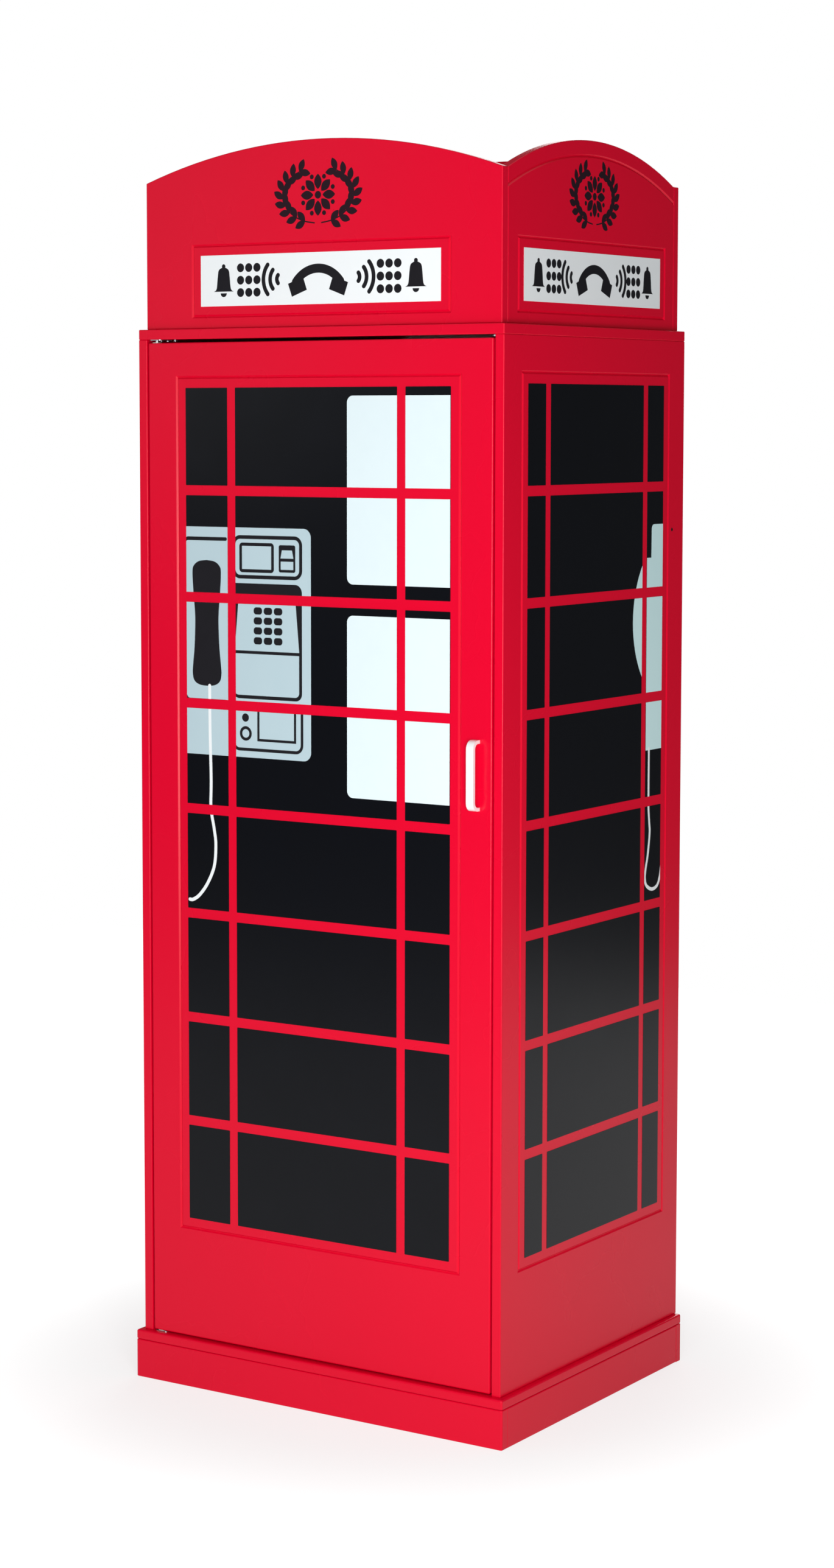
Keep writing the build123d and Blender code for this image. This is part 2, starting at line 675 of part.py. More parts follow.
with BuildPart() as shelf_pins:
    for side in sides.values():
        pin_face = facing(side, side * (half_inner - shelf_pin_reach), shelf_pin_y, shelf_pin_z)
        rod(pin_face, shelf_pin_radius, 2 * shelf_pin_reach)
shelf_pins.part.label = "shelf_pins"
export_step(shelf_pins.part, "parts/shelf_pins.step")

with BuildPart() as shelf_screws:
    for side in sides.values():
        head_face = facing(side, side * half_width, shelf_screw_y, shelf_screw_z)
        sunk_screw(head_face, shelf_screw, board + shelf_air + corner_screw_bite)
shelf_screws.part.label = "shelf_screws"
export_step(shelf_screws.part, "parts/shelf_screws.step")

rail_half = half_inner - socket_base - end_air
with BuildPart() as hanging_rail:
    with BuildSketch(facing(1, -rail_half, middle_y, rail_z)):
        Circle(rail_radius)
        Circle(rail_radius - rail_wall, mode=Mode.SUBTRACT)
    extrude(amount=2 * rail_half)
hanging_rail.part.label = "hanging_rail"
export_step(hanging_rail.part, "parts/hanging_rail.step")

with BuildPart() as rail_sockets:
    for side in sides.values():
        wall = facing(-side, side * half_inner, middle_y, rail_z)
        rod(wall, socket_radius, socket_base)
        rod(wall, socket_ring_radius, socket_base + socket_cup)
        bore(wall.offset(socket_base + socket_cup), rail_radius + fit, socket_cup)
        for across in (-socket_screw_circle, socket_screw_circle):
            seat = facing(-side, side * (half_inner - socket_base), middle_y + across, rail_z)
            bore(seat, small_screw[0] + fit, socket_base)
            sink(seat, small_screw)
rail_sockets.part.label = "rail_sockets"
export_step(rail_sockets.part, "parts/rail_sockets.step")

with BuildPart() as socket_screws:
    for side in sides.values():
        for across in (-socket_screw_circle, socket_screw_circle):
            seat = facing(-side, side * (half_inner - socket_base), middle_y + across, rail_z)
            sunk_screw(seat, small_screw, socket_base + small_bite)
socket_screws.part.label = "rail_socket_screws"
export_step(socket_screws.part, "parts/rail_socket_screws.step")

# ---- Wall bracket ----
bracket_width, bracket_top, bracket_drop, bracket_gauge = bracket_size
with BuildPart() as wall_bracket:
    with BuildSketch(facing(1, -bracket_width / 2, back_front, top_z)):
        with BuildLine():
            Polyline(
                (0, 0),
                (-bracket_top, 0),
                (-bracket_top, -bracket_gauge),
                (-bracket_gauge, -bracket_gauge),
                (-bracket_gauge, -bracket_drop),
                (0, -bracket_drop),
                close=True,
            )
        make_face()
    extrude(amount=bracket_width)
    bore(fronting(0, back_front - bracket_gauge, top_z - bracket_hole_drop), bracket_wall_hole, bracket_gauge)
    for side in sides.values():
        leg_face = downward(side * bracket_screw_spread, bracket_screw_y, top_z - bracket_gauge)
        bore(leg_face, small_screw[0] + fit, bracket_gauge)
wall_bracket.part.label = "wall_bracket"
export_step(wall_bracket.part, "parts/wall_bracket.step")

with BuildPart() as bracket_screws:
    for side in sides.values():
        leg_face = downward(side * bracket_screw_spread, bracket_screw_y, top_z - bracket_gauge)
        pan_screw(leg_face, small_screw, bracket_gauge + small_bite)
bracket_screws.part.label = "wall_bracket_screws"
export_step(bracket_screws.part, "parts/wall_bracket_screws.step")

# ---- Door pivots ----
pivot_ends = ((base_top, upward), (top_z, downward))
with BuildPart() as pivot_plates:
    for end_z, outward in pivot_ends:
        plate_middle = front_y + plate_setback + plate_length / 2
        with BuildSketch(outward(pivot_x, plate_middle, end_z)):
            RectangleRounded(plate_width, plate_length, plate_width / 5)
        extrude(amount=plate_thickness)
        bore(outward(pivot_x, pivot_y, end_z).offset(plate_thickness), pivot_pin_radius + fit, plate_thickness)
        for screw_x in plate_screw_xs:
            plate_face = outward(screw_x, plate_screw_y, end_z).offset(plate_thickness)
            bore(plate_face, plate_screw[0] + fit, plate_thickness)
pivot_plates.part.label = "pivot_plates"
export_step(pivot_plates.part, "parts/pivot_plates.step")

with BuildPart() as plate_screws:
    for end_z, outward in pivot_ends:
        for screw_x in plate_screw_xs:
            plate_face = outward(screw_x, plate_screw_y, end_z).offset(plate_thickness)
            pan_screw(plate_face, plate_screw, plate_thickness + small_bite)
plate_screws.part.label = "pivot_plate_screws"
export_step(plate_screws.part, "parts/pivot_plate_screws.step")

door_gaps = (door_gap_bottom, door_gap_top)
with BuildPart() as pivot_pins:
    for (end_z, outward), gap in zip(pivot_ends, door_gaps):
        root = outward(pivot_x, pivot_y, end_z).offset(-pivot_pin_in_board)
        rod(root, pivot_pin_radius, pivot_pin_in_board + gap + pivot_pin_in_door)
pivot_pins.part.label = "pivot_pins"
export_step(pivot_pins.part, "parts/pivot_pins.step")

with BuildPart() as pivot_bushes:
    for (end_z, outward), gap in zip(pivot_ends, door_gaps):
        door_edge = outward(pivot_x, pivot_y, end_z).offset(gap)
        rod(door_edge.offset(-bush_flange[1]), flange_radius, bush_flange[1])
        rod(door_edge, bush_radius, bush_length)
        with BuildSketch(door_edge.offset(-bush_flange[1])):
            Circle(pivot_pin_radius + fit)
        extrude(amount=bush_flange[1] + bush_length, mode=Mode.SUBTRACT)
pivot_bushes.part.label = "pivot_bushes"
export_step(pivot_bushes.part, "parts/pivot_bushes.step")

# ---- Door ----
handle_rows = (handle_z - handle_centres / 2, handle_z + handle_centres / 2)
strike_x = door_half - strike_from_edge
with BuildPart() as door:
    slab((-door_half, front_y, door_bottom), (door_half, door_back, door_top))
    fillet(door.edges(), door_ease)
    frame_groove(
        fronting(0, front_y, door_block_middle),
        door_block + 2 * groove_gap,
        door_block_height + 2 * groove_gap,
    )
    bore(downward(pivot_x, pivot_y, door_bottom), bush_radius + fit, bush_length + end_air)
    bore(upward(pivot_x, pivot_y, door_top), bush_radius + fit, bush_length + end_air)
    for row_z in handle_rows:
        bore(backing(handle_x, door_back, row_z), small_screw[0] + fit, board)
    bore(backing(strike_x, door_back, handle_z), small_screw[0] + fit, small_bite + end_air)
door.part.label = "door"
export_step(door.part, "parts/door.step")

with BuildPart() as door_panes:
    pane_grid(
        fronting(0, front_y, base_top), door_block, door_pane_narrow, door_pane_bar, door_pane_margins
    )
door_panes.part.label = "door_panes"
export_step(door_panes.part, "parts/door_panes.step")

strip_width, strip_thickness = handle_strip
handle_length = handle_centres + strip_thickness
with BuildPart() as door_handle:
    with BuildSketch(facing(1, handle_x - strip_width / 2, front_y, handle_z)) as bow:
        with Locations((-handle_reach / 2, 0)):
            Rectangle(handle_reach, handle_length)
        fillet(bow.vertices().group_by(Axis.X)[0], handle_bend)
        with Locations((-(handle_reach - strip_thickness) / 2, 0)):
            Rectangle(handle_reach - strip_thickness, handle_length - 2 * strip_thickness, mode=Mode.SUBTRACT)
        inner_bends = bow.vertices().filter_by_position(
            Axis.X, -handle_reach + strip_thickness - fit, -handle_reach + strip_thickness + fit
        )
        fillet(inner_bends, handle_bend - strip_thickness)
    extrude(amount=strip_width)
    for row_z in handle_rows:
        bore(backing(handle_x, front_y, row_z), small_screw[0] + fit, small_bite + end_air)
door_handle.part.label = "door_handle"
export_step(door_handle.part, "parts/door_handle.step")

with BuildPart() as handle_screws:
    for row_z in handle_rows:
        pan_screw(backing(handle_x, door_back, row_z), small_screw, board + small_bite)
handle_screws.part.label = "handle_screws"
export_step(handle_screws.part, "parts/handle_screws.step")

# ---- Magnetic catch ----
strike_width, strike_gauge, strike_tall = strike_size
with BuildPart() as strike_plate:
    with BuildSketch(backing(strike_x, door_back, handle_z)):
        RectangleRounded(strike_width, strike_tall, strike_width / 5)
    extrude(amount=strike_gauge)
    seat = backing(strike_x, door_back + strike_gauge, handle_z)
    bore(seat, small_screw[0] + fit, strike_gauge)
    sink(seat, small_screw)
strike_plate.part.label = "strike_plate"
export_step(strike_plate.part, "parts/strike_plate.step")

with BuildPart() as strike_screw:
    sunk_screw(backing(strike_x, door_back + strike_gauge, handle_z), small_screw, strike_gauge + small_bite)
strike_screw.part.label = "strike_screw"
export_step(strike_screw.part, "parts/strike_screw.step")

magnet_width, magnet_depth, magnet_tall = magnet_size
pack_width = magnet_width + 2 * pole_thickness
with BuildPart() as catch_housing:
    catch_back_y = catch_front_y + catch_depth
    slab(
        (half_inner - catch_width, catch_front_y, handle_z - catch_height / 2),
        (half_inner, catch_back_y, handle_z + catch_height / 2),
    )
    ear_reach = catch_height / 2 + catch_ear
    slab(
        (half_inner - catch_ear_thickness, catch_front_y, handle_z - ear_reach),
        (half_inner, catch_back_y, handle_z + ear_reach),
    )
    with BuildSketch(fronting(catch_x, catch_front_y, handle_z)):
        Rectangle(pack_width + 4 * fit, magnet_tall + 2 * fit)
    extrude(amount=-magnet_depth - fit, mode=Mode.SUBTRACT)
    for up in (-catch_screw_reach, catch_screw_reach):
        seat = facing(-1, half_inner - catch_ear_thickness, catch_screw_y, handle_z + up)
        bore(seat, small_screw[0] + fit, catch_ear_thickness)
        sink(seat, small_screw)
catch_housing.part.label = "catch_housing"
export_step(catch_housing.part, "parts/catch_housing.step")

with BuildPart() as catch_magnet:
    slab(
        (catch_x - magnet_width / 2, catch_front_y, handle_z - magnet_tall / 2),
        (catch_x + magnet_width / 2, catch_front_y + magnet_depth, handle_z + magnet_tall / 2),
    )
catch_magnet.part.label = "catch_magnet"
export_step(catch_magnet.part, "parts/catch_magnet.step")

with BuildPart() as catch_poles:
    for side in sides.values():
        near = catch_x + side * (magnet_width / 2 + fit)
        low_x, high_x = sorted((near, near + side * pole_thickness))
        slab(
            (low_x, catch_front_y - pole_reach, handle_z - magnet_tall / 2),
            (high_x, catch_front_y + magnet_depth, handle_z + magnet_tall / 2),
        )
catch_poles.part.label = "catch_poles"
export_step(catch_poles.part, "parts/catch_poles.step")

with BuildPart() as catch_screws:
    for up in (-catch_screw_reach, catch_screw_reach):
        seat = facing(-1, half_inner - catch_ear_thickness, catch_screw_y, handle_z + up)
        sunk_screw(seat, small_screw, catch_ear_thickness + small_bite)
catch_screws.part.label = "catch_screws"
export_step(catch_screws.part, "parts/catch_screws.step")
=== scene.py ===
"""Looks of a child's wardrobe that is built and painted as a street telephone kiosk.

The cabinet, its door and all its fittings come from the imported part. This file gives each of them its
finish and adds what is printed on the black panes, on the white signs and on the arched header boards.
Artwork is laid out in millimetres: u runs along the board, z runs up from the floor.
"""

import logging
import math
from dataclasses import dataclass, field
from enum import Enum

import bmesh
import bpy
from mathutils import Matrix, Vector
from mathutils.geometry import delaunay_2d_cdt


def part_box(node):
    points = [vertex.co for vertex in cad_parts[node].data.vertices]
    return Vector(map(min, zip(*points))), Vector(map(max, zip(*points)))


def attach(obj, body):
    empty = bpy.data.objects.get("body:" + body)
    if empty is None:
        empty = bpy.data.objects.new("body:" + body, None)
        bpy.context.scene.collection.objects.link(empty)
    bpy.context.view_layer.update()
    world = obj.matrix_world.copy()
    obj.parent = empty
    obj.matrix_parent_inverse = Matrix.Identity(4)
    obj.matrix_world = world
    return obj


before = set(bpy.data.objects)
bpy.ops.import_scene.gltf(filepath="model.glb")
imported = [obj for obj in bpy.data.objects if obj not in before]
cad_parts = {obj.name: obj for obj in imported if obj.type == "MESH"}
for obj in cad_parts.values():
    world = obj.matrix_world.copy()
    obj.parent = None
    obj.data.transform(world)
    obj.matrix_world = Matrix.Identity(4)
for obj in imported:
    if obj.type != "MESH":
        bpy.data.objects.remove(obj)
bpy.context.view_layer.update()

LOG = logging.getLogger("kiosk_wardrobe")
MM = 0.001
# Lengths below are in millimetres.
INK_THICKNESS = 0.06   # one layer of a print
INK_SINK = 0.02        # back of a print below the face that it lies on
SAME_EDGE = 3.0        # edges of a film nearer than this are one edge with a round corner
CORNER_JOIN = 0.0005   # corners of overlapping shapes nearer than this are one
WELD_STEPS = 500       # corners are welded on a grid with this many steps in a millimetre

Colour = tuple[float, float, float]
Place = tuple[float, float, float]
Point = tuple[float, float]
Outline = list[Point]
Window = tuple[float, float, float, float]


# ---- Finishes ----


class Figure(Enum):
    """The pattern that a surface carries."""

    MOTTLE = "mottle"
    WOOD = "wood"
    BRUSHED = "brushed"


@dataclass(frozen=True)
class Finish:
    """How one kind of surface takes the light: two shades, a roughness band, a figure and a fine relief.

    Lengths are in metres. The grain gives the repeats of the figure along x, y and z in one metre.
    """

    name: str
    shade: Colour
    second_shade: Colour
    roughness: tuple[float, float]
    grain: Colour = (60.0, 60.0, 60.0)
    figure: Figure = Figure.MOTTLE
    relief: float = 0.00002
    relief_grain: float = 900.0
    metallic: float = 0.0
    specular: float = 0.5
    coat: float = 0.0
    coat_roughness: float = 0.1

    def material(self) -> bpy.types.Material:
        """Makes the finish, or returns it if it exists already.

        Returns:
            The Blender material with this finish's name.
        """
        title = f"{self.name}_finish"
        made = bpy.data.materials.get(title)
        if made is not None:
            return made
        made = bpy.data.materials.new(title)
        made.use_nodes = True
        made.diffuse_color = (*self.shade, 1.0)
        nodes, links = made.node_tree.nodes, made.node_tree.links
        nodes.clear()
        output = nodes.new("ShaderNodeOutputMaterial")
        shader = nodes.new("ShaderNodeBsdfPrincipled")
        links.new(shader.outputs["BSDF"], output.inputs["Surface"])
        shader.inputs["Metallic"].default_value = self.metallic
        shader.inputs["Specular IOR Level"].default_value = self.specular
        shader.inputs["Coat Weight"].default_value = self.coat
        shader.inputs["Coat Roughness"].default_value = self.coat_roughness
        place = nodes.new("ShaderNodeTexCoord")
        spread = nodes.new("ShaderNodeMapping")
        spread.inputs["Scale"].default_value = self.grain
        links.new(place.outputs["Object"], spread.inputs["Vector"])
        figure = self._figure(nodes)
        links.new(spread.outputs["Vector"], figure.inputs["Vector"])
        shades = nodes.new("ShaderNodeMix")
        shades.data_type = "RGBA"
        shades.inputs["A"].default_value = (*self.shade, 1.0)
        shades.inputs["B"].default_value = (*self.second_shade, 1.0)
        links.new(figure.outputs["Fac"], shades.inputs["Factor"])
        links.new(shades.outputs["Result"], shader.inputs["Base Color"])
        band = nodes.new("ShaderNodeMapRange")
        band.inputs["To Min"].default_value = self.roughness[0]
        band.inputs["To Max"].default_value = self.roughness[1]
        links.new(figure.outputs["Fac"], band.inputs["Value"])
        links.new(band.outputs["Result"], shader.inputs["Roughness"])
        pores = nodes.new("ShaderNodeTexNoise")
        pores.inputs["Scale"].default_value = self.relief_grain
        pores.inputs["Detail"].default_value = 2.0
        links.new(place.outputs["Object"], pores.inputs["Vector"])
        bump = nodes.new("ShaderNodeBump")
        bump.inputs["Strength"].default_value = 1.0
        bump.inputs["Distance"].default_value = self.relief
        links.new(pores.outputs["Fac"], bump.inputs["Height"])
        links.new(bump.outputs["Normal"], shader.inputs["Normal"])
        return made

    def _figure(self, nodes: bpy.types.Nodes) -> bpy.types.Node:
        """Adds the texture node of the surface's figure.

        Args:
            nodes: The nodes of the material.

        Returns:
            The texture node, with a Vector input and a Fac output.
        """
        if self.figure is Figure.WOOD:
            rings = nodes.new("ShaderNodeTexWave")
            rings.inputs["Scale"].default_value = 1.0
            rings.inputs["Distortion"].default_value = 6.0
            rings.inputs["Detail"].default_value = 3.0
            return rings
        noise = nodes.new("ShaderNodeTexNoise")
        noise.inputs["Scale"].default_value = 1.0
        noise.inputs["Detail"].default_value = 6.0 if self.figure is Figure.BRUSHED else 3.0
        return noise


RED_LACQUER = Finish(
    "red_lacquer",
    shade=(0.76, 0.0, 0.026),
    second_shade=(0.73, 0.0, 0.023),
    roughness=(0.25, 0.30),
    grain=(5.0, 5.0, 5.0),
    relief=0.000006,
    relief_grain=420.0,
    specular=0.22,
)
PANE_FILM = Finish(
    "black_pane_film",
    shade=(0.0030, 0.0036, 0.0060),
    second_shade=(0.0022, 0.0026, 0.0042),
    roughness=(0.21, 0.26),
    grain=(14.0, 14.0, 14.0),
    relief=0.000004,
    relief_grain=700.0,
    specular=0.22,
)
SIGN_FILM = Finish(
    "white_sign_film",
    shade=(0.93, 0.96, 0.97),
    second_shade=(0.90, 0.94, 0.96),
    roughness=(0.36, 0.44),
    grain=(30.0, 30.0, 30.0),
    relief=0.000008,
)
POSTER_PRINT = Finish(
    "poster_print",
    shade=(0.77, 0.89, 0.92),
    second_shade=(0.74, 0.86, 0.90),
    roughness=(0.40, 0.48),
    grain=(40.0, 40.0, 40.0),
    relief=0.000008,
)
PHONE_PRINT = Finish(
    "phone_print",
    shade=(0.52, 0.65, 0.70),
    second_shade=(0.45, 0.60, 0.66),
    roughness=(0.40, 0.50),
    grain=(10.0, 10.0, 6.0),
    relief=0.000008,
)
SIDE_PRINT = Finish(
    "side_phone_print",
    shade=(0.68, 0.91, 0.92),
    second_shade=(0.62, 0.86, 0.88),
    roughness=(0.40, 0.50),
    grain=(10.0, 10.0, 6.0),
    relief=0.000008,
)
CORD_PRINT = Finish(
    "cord_print",
    shade=(0.90, 0.93, 0.94),
    second_shade=(0.86, 0.90, 0.92),
    roughness=(0.40, 0.48),
    grain=(40.0, 40.0, 40.0),
    relief=0.000008,
)
INK = Finish(
    "dark_ink",
    shade=(0.0120, 0.0110, 0.0150),
    second_shade=(0.0090, 0.0085, 0.0110),
    roughness=(0.40, 0.48),
    grain=(40.0, 40.0, 40.0),
    relief=0.000008,
    specular=0.20,
)
EMBLEM_INK = Finish(
    "emblem_ink",
    shade=(0.022, 0.007, 0.014),
    second_shade=(0.016, 0.005, 0.010),
    roughness=(0.38, 0.46),
    grain=(40.0, 40.0, 40.0),
    relief=0.000008,
    specular=0.20,
)
WHITE_ENAMEL = Finish(
    "white_handle_enamel",
    shade=(0.90, 0.90, 0.91),
    second_shade=(0.86, 0.86, 0.88),
    roughness=(0.22, 0.30),
    grain=(90.0, 90.0, 90.0),
    relief=0.000006,
    coat=0.4,
)
HARDBOARD = Finish(
    "back_hardboard",
    shade=(0.58, 0.004, 0.024),
    second_shade=(0.50, 0.003, 0.020),
    roughness=(0.46, 0.60),
    grain=(520.0, 520.0, 520.0),
    relief=0.00012,
    relief_grain=1300.0,
    specular=0.3,
)
BEECH = Finish(
    "beech",
    shade=(0.62, 0.40, 0.22),
    second_shade=(0.49, 0.29, 0.145),
    roughness=(0.48, 0.62),
    grain=(16.0, 60.0, 220.0),
    figure=Figure.WOOD,
    relief=0.00005,
    relief_grain=1500.0,
    specular=0.35,
)
ZINC_STEEL = Finish(
    "zinc_plated_steel",
    shade=(0.62, 0.64, 0.67),
    second_shade=(0.50, 0.53, 0.58),
    roughness=(0.24, 0.40),
    grain=(90.0, 90.0, 1400.0),
    figure=Figure.BRUSHED,
    relief=0.000015,
    metallic=1.0,
)
ZINC_CASTING = Finish(
    "zinc_casting",
    shade=(0.48, 0.48, 0.50),
    second_shade=(0.38, 0.38, 0.40),
    roughness=(0.40, 0.58),
    grain=(700.0, 700.0, 700.0),
    relief=0.00004,
    relief_grain=1800.0,
    metallic=1.0,
)
CHROME_TUBE = Finish(
    "chrome_tube",
    shade=(0.70, 0.71, 0.73),
    second_shade=(0.64, 0.66, 0.69),
    roughness=(0.06, 0.14),
    grain=(6.0, 400.0, 400.0),
    figure=Figure.BRUSHED,
    relief=0.000004,
    metallic=1.0,
)
BLACK_SCREW = Finish(
    "black_screw",
    shade=(0.020, 0.018, 0.020),
    second_shade=(0.011, 0.010, 0.011),
    roughness=(0.36, 0.52),
    grain=(900.0, 900.0, 900.0),
    relief=0.00002,
    metallic=0.6,
)
WHITE_PLASTIC = Finish(
    "white_plastic",
    shade=(0.80, 0.79, 0.76),
    second_shade=(0.75, 0.74, 0.70),
    roughness=(0.34, 0.46),
    grain=(120.0, 120.0, 120.0),
    relief=0.000018,
)
NYLON = Finish(
    "nylon",
    shade=(0.70, 0.69, 0.62),
    second_shade=(0.62, 0.61, 0.54),
    roughness=(0.42, 0.55),
    grain=(240.0, 240.0, 240.0),
    relief=0.000018,
)
FERRITE = Finish(
    "ferrite",
    shade=(0.045, 0.042, 0.041),
    second_shade=(0.028, 0.027, 0.027),
    roughness=(0.50, 0.70),
    grain=(1200.0, 1200.0, 1200.0),
    relief=0.00003,
    specular=0.4,
)


# ---- Outlines of printed shapes ----


def arc(centre: Point, radius: float, start: float, end: float, steps: int = 12) -> Outline:
    """Points along an arc.

    Args:
        centre: Middle of the circle, in millimetres.
        radius: Radius in millimetres.
        start: First angle in degrees, anticlockwise from the u axis.
        end: Last angle in degrees.
        steps: Number of chords.

    Returns:
        The points from the first angle to the last.
    """
    turns = [math.radians(start + (end - start) * i / steps) for i in range(steps + 1)]
    return [(centre[0] + radius * math.cos(t), centre[1] + radius * math.sin(t)) for t in turns]


def disc(centre: Point, radius: float) -> Outline:
    """A round disc."""
    return arc(centre, radius, 0.0, 360.0, 32)[:-1]


def rounded_box(low: Point, high: Point, radii: tuple[float, float, float, float]) -> Outline:
    """A box with its own radius at each corner.

    Args:
        low: Lower left corner.
        high: Upper right corner.
        radii: Corner radii from the lower left one, anticlockwise.

    Returns:
        The outline, anticlockwise.
    """
    corners = (
        (low[0], low[1], 1, 1, 180),
        (high[0], low[1], -1, 1, 270),
        (high[0], high[1], -1, -1, 0),
        (low[0], high[1], 1, -1, 90),
    )
    outline: Outline = []
    for (u, z, right, up, start), radius in zip(corners, radii):
        if radius <= 0:
            outline.append((u, z))
            continue
        outline += arc((u + right * radius, z + up * radius), radius, start, start + 90, 8)
    return outline


def smooth(points: Outline, steps: int = 10) -> Outline:
    """Runs an even curve through guide points.

    Args:
        points: The guide points.
        steps: Chords between two guide points.

    Returns:
        The points of the curve.
    """
    ends = [points[0], *points, points[-1]]
    curve: Outline = []
    for before, first, last, after in zip(ends, ends[1:], ends[2:], ends[3:]):
        for step in range(steps):
            t = step / steps
            curve.append(
                tuple(
                    0.5
                    * (
                        2 * b
                        + (c - a) * t
                        + (2 * a - 5 * b + 4 * c - d) * t * t
                        + (3 * b - a - 3 * c + d) * t**3
                    )
                    for a, b, c, d in zip(before, first, last, after)
                )
            )
    return [*curve, points[-1]]


def stroke(points: Outline, width: float, closed: bool = False) -> list[Outline]:
    """A line of even width along points, with round ends.

    Args:
        points: The middle of the line.
        width: Width in millimetres.
        closed: True if the line runs back to its start.

    Returns:
        The quads of the line, and a disc on each loose end.
    """
    count = len(points)
    left: Outline = []
    right: Outline = []
    for i, (u, z) in enumerate(points):
        before = points[(i - 1) % count] if closed or i else points[0]
        after = points[(i + 1) % count] if closed or i < count - 1 else points[-1]
        incoming = Vector((u - before[0], z - before[1])).normalized()
        outgoing = Vector((after[0] - u, after[1] - z)).normalized()
        along = (incoming + outgoing).normalized()
        leaning = max(0.5, max(along.dot(incoming), along.dot(outgoing)))
        reach = width / 2 / leaning
        left.append((u - along.y * reach, z + along.x * reach))
        right.append((u + along.y * reach, z - along.x * reach))
    runs = range(count if closed else count - 1)
    quads = [[left[i], right[i], right[(i + 1) % count], left[(i + 1) % count]] for i in runs]
    if not closed:
        quads += [disc(points[0], width / 2), disc(points[-1], width / 2)]
    return quads


def leaf(root: Point, turn: float, length: float, width: float) -> Outline:
    """A pointed leaf.

    Args:
        root: Where the leaf starts.
        turn: Direction of its tip in degrees.
        length: Length in millimetres.
        width: Width at the middle.

    Returns:
        The outline of the leaf.
    """
    steps = 10
    upper = [(length * i / steps, width / 2 * math.sin(math.pi * i / steps) ** 0.8) for i in range(steps + 1)]
    whole = upper + [(u, -z) for u, z in reversed(upper[1:-1])]
    c, s = math.cos(math.radians(turn)), math.sin(math.radians(turn))
    return [(root[0] + u * c - z * s, root[1] + u * s + z * c) for u, z in whole]


def anticlockwise(outline: Outline) -> Outline:
    """Turns an outline to run anticlockwise."""
    area = sum(a[0] * b[1] - b[0] * a[1] for a, b in zip(outline, outline[1:] + outline[:1]))
    return outline if area > 0 else outline[::-1]


def clip(outline: Outline, window: Window) -> Outline:
    """Cuts a convex outline down to a window.

    Args:
        outline: The convex outline.
        window: Lowest u, lowest z, highest u and highest z.

    Returns:
        What is left, which may be empty.
    """
    for axis, limit, sign in ((0, window[0], 1), (1, window[1], 1), (0, window[2], -1), (1, window[3], -1)):
        kept: Outline = []
        for here, after in zip(outline, outline[1:] + outline[:1]):
            depth_here = sign * (here[axis] - limit)
            depth_after = sign * (after[axis] - limit)
            if depth_here >= 0:
                kept.append(here)
            if (depth_here >= 0) != (depth_after >= 0):
                share = depth_here / (depth_here - depth_after)
                kept.append(tuple(a + (b - a) * share for a, b in zip(here, after)))
        outline = kept
        if len(outline) < 3:
            return []
    return outline


# ---- Printing on the boards ----


class Side(Enum):
    """The outer face of the cabinet that a print lies on."""

    FRONT = "front"
    LEFT = "left"
    RIGHT = "right"


@dataclass(frozen=True)
class Ground:
    """The flat face under some prints, and the windows that they may show in."""

    side: Side
    level: float
    body: str
    windows: tuple[Window, ...] = ()

    def place(self, u: float, z: float, lift: float) -> Vector:
        """Gives a point above the face.

        Args:
            u: Place along the board in millimetres: x on the front, y on a side.
            z: Height in millimetres.
            lift: Height above the face in millimetres.

        Returns:
            The point in metres.
        """
        if self.side is Side.FRONT:
            return Vector((u, self.level - lift, z)) * MM
        outward = 1 if self.side is Side.RIGHT else -1
        return Vector((self.level + outward * lift, u, z)) * MM


def spans(values: list[float]) -> list[Point]:
    """Pairs up the edges of rectangles that stand in a row.

    Args:
        values: Edge places in millimetres, in any order and with repeats.

    Returns:
        The start and end of each rectangle.
    """
    edges: list[list[float]] = []
    for value in sorted(values):
        if not edges or value - edges[-1][1] > SAME_EDGE:
            edges.append([value, value])
        edges[-1][1] = value
    return [(start[0], end[1]) for start, end in zip(edges[::2], edges[1::2])]


def ground_of(node: str, side: Side, body: str, windowed: bool) -> Ground:
    """Finds the printable face of a board or film.

    Args:
        node: Name of the board or film.
        side: The face of the cabinet that it is on.
        body: The body that it moves with.
        windowed: True if prints show only inside the node's own rectangles.

    Returns:
        The ground for the prints.
    """
    low, high = (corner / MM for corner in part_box(node))
    level = {Side.FRONT: low.y, Side.LEFT: low.x, Side.RIGHT: high.x}[side]
    if not windowed:
        return Ground(side, level, body)
    axis = 0 if side is Side.FRONT else 1
    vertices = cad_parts[node].data.vertices
    columns = spans([v.co[axis] / MM for v in vertices])
    rows = spans([v.co[2] / MM for v in vertices])
    windows = tuple((u0, z0, u1, z1) for u0, u1 in columns for z0, z1 in rows)
    return Ground(side, level, body, windows)


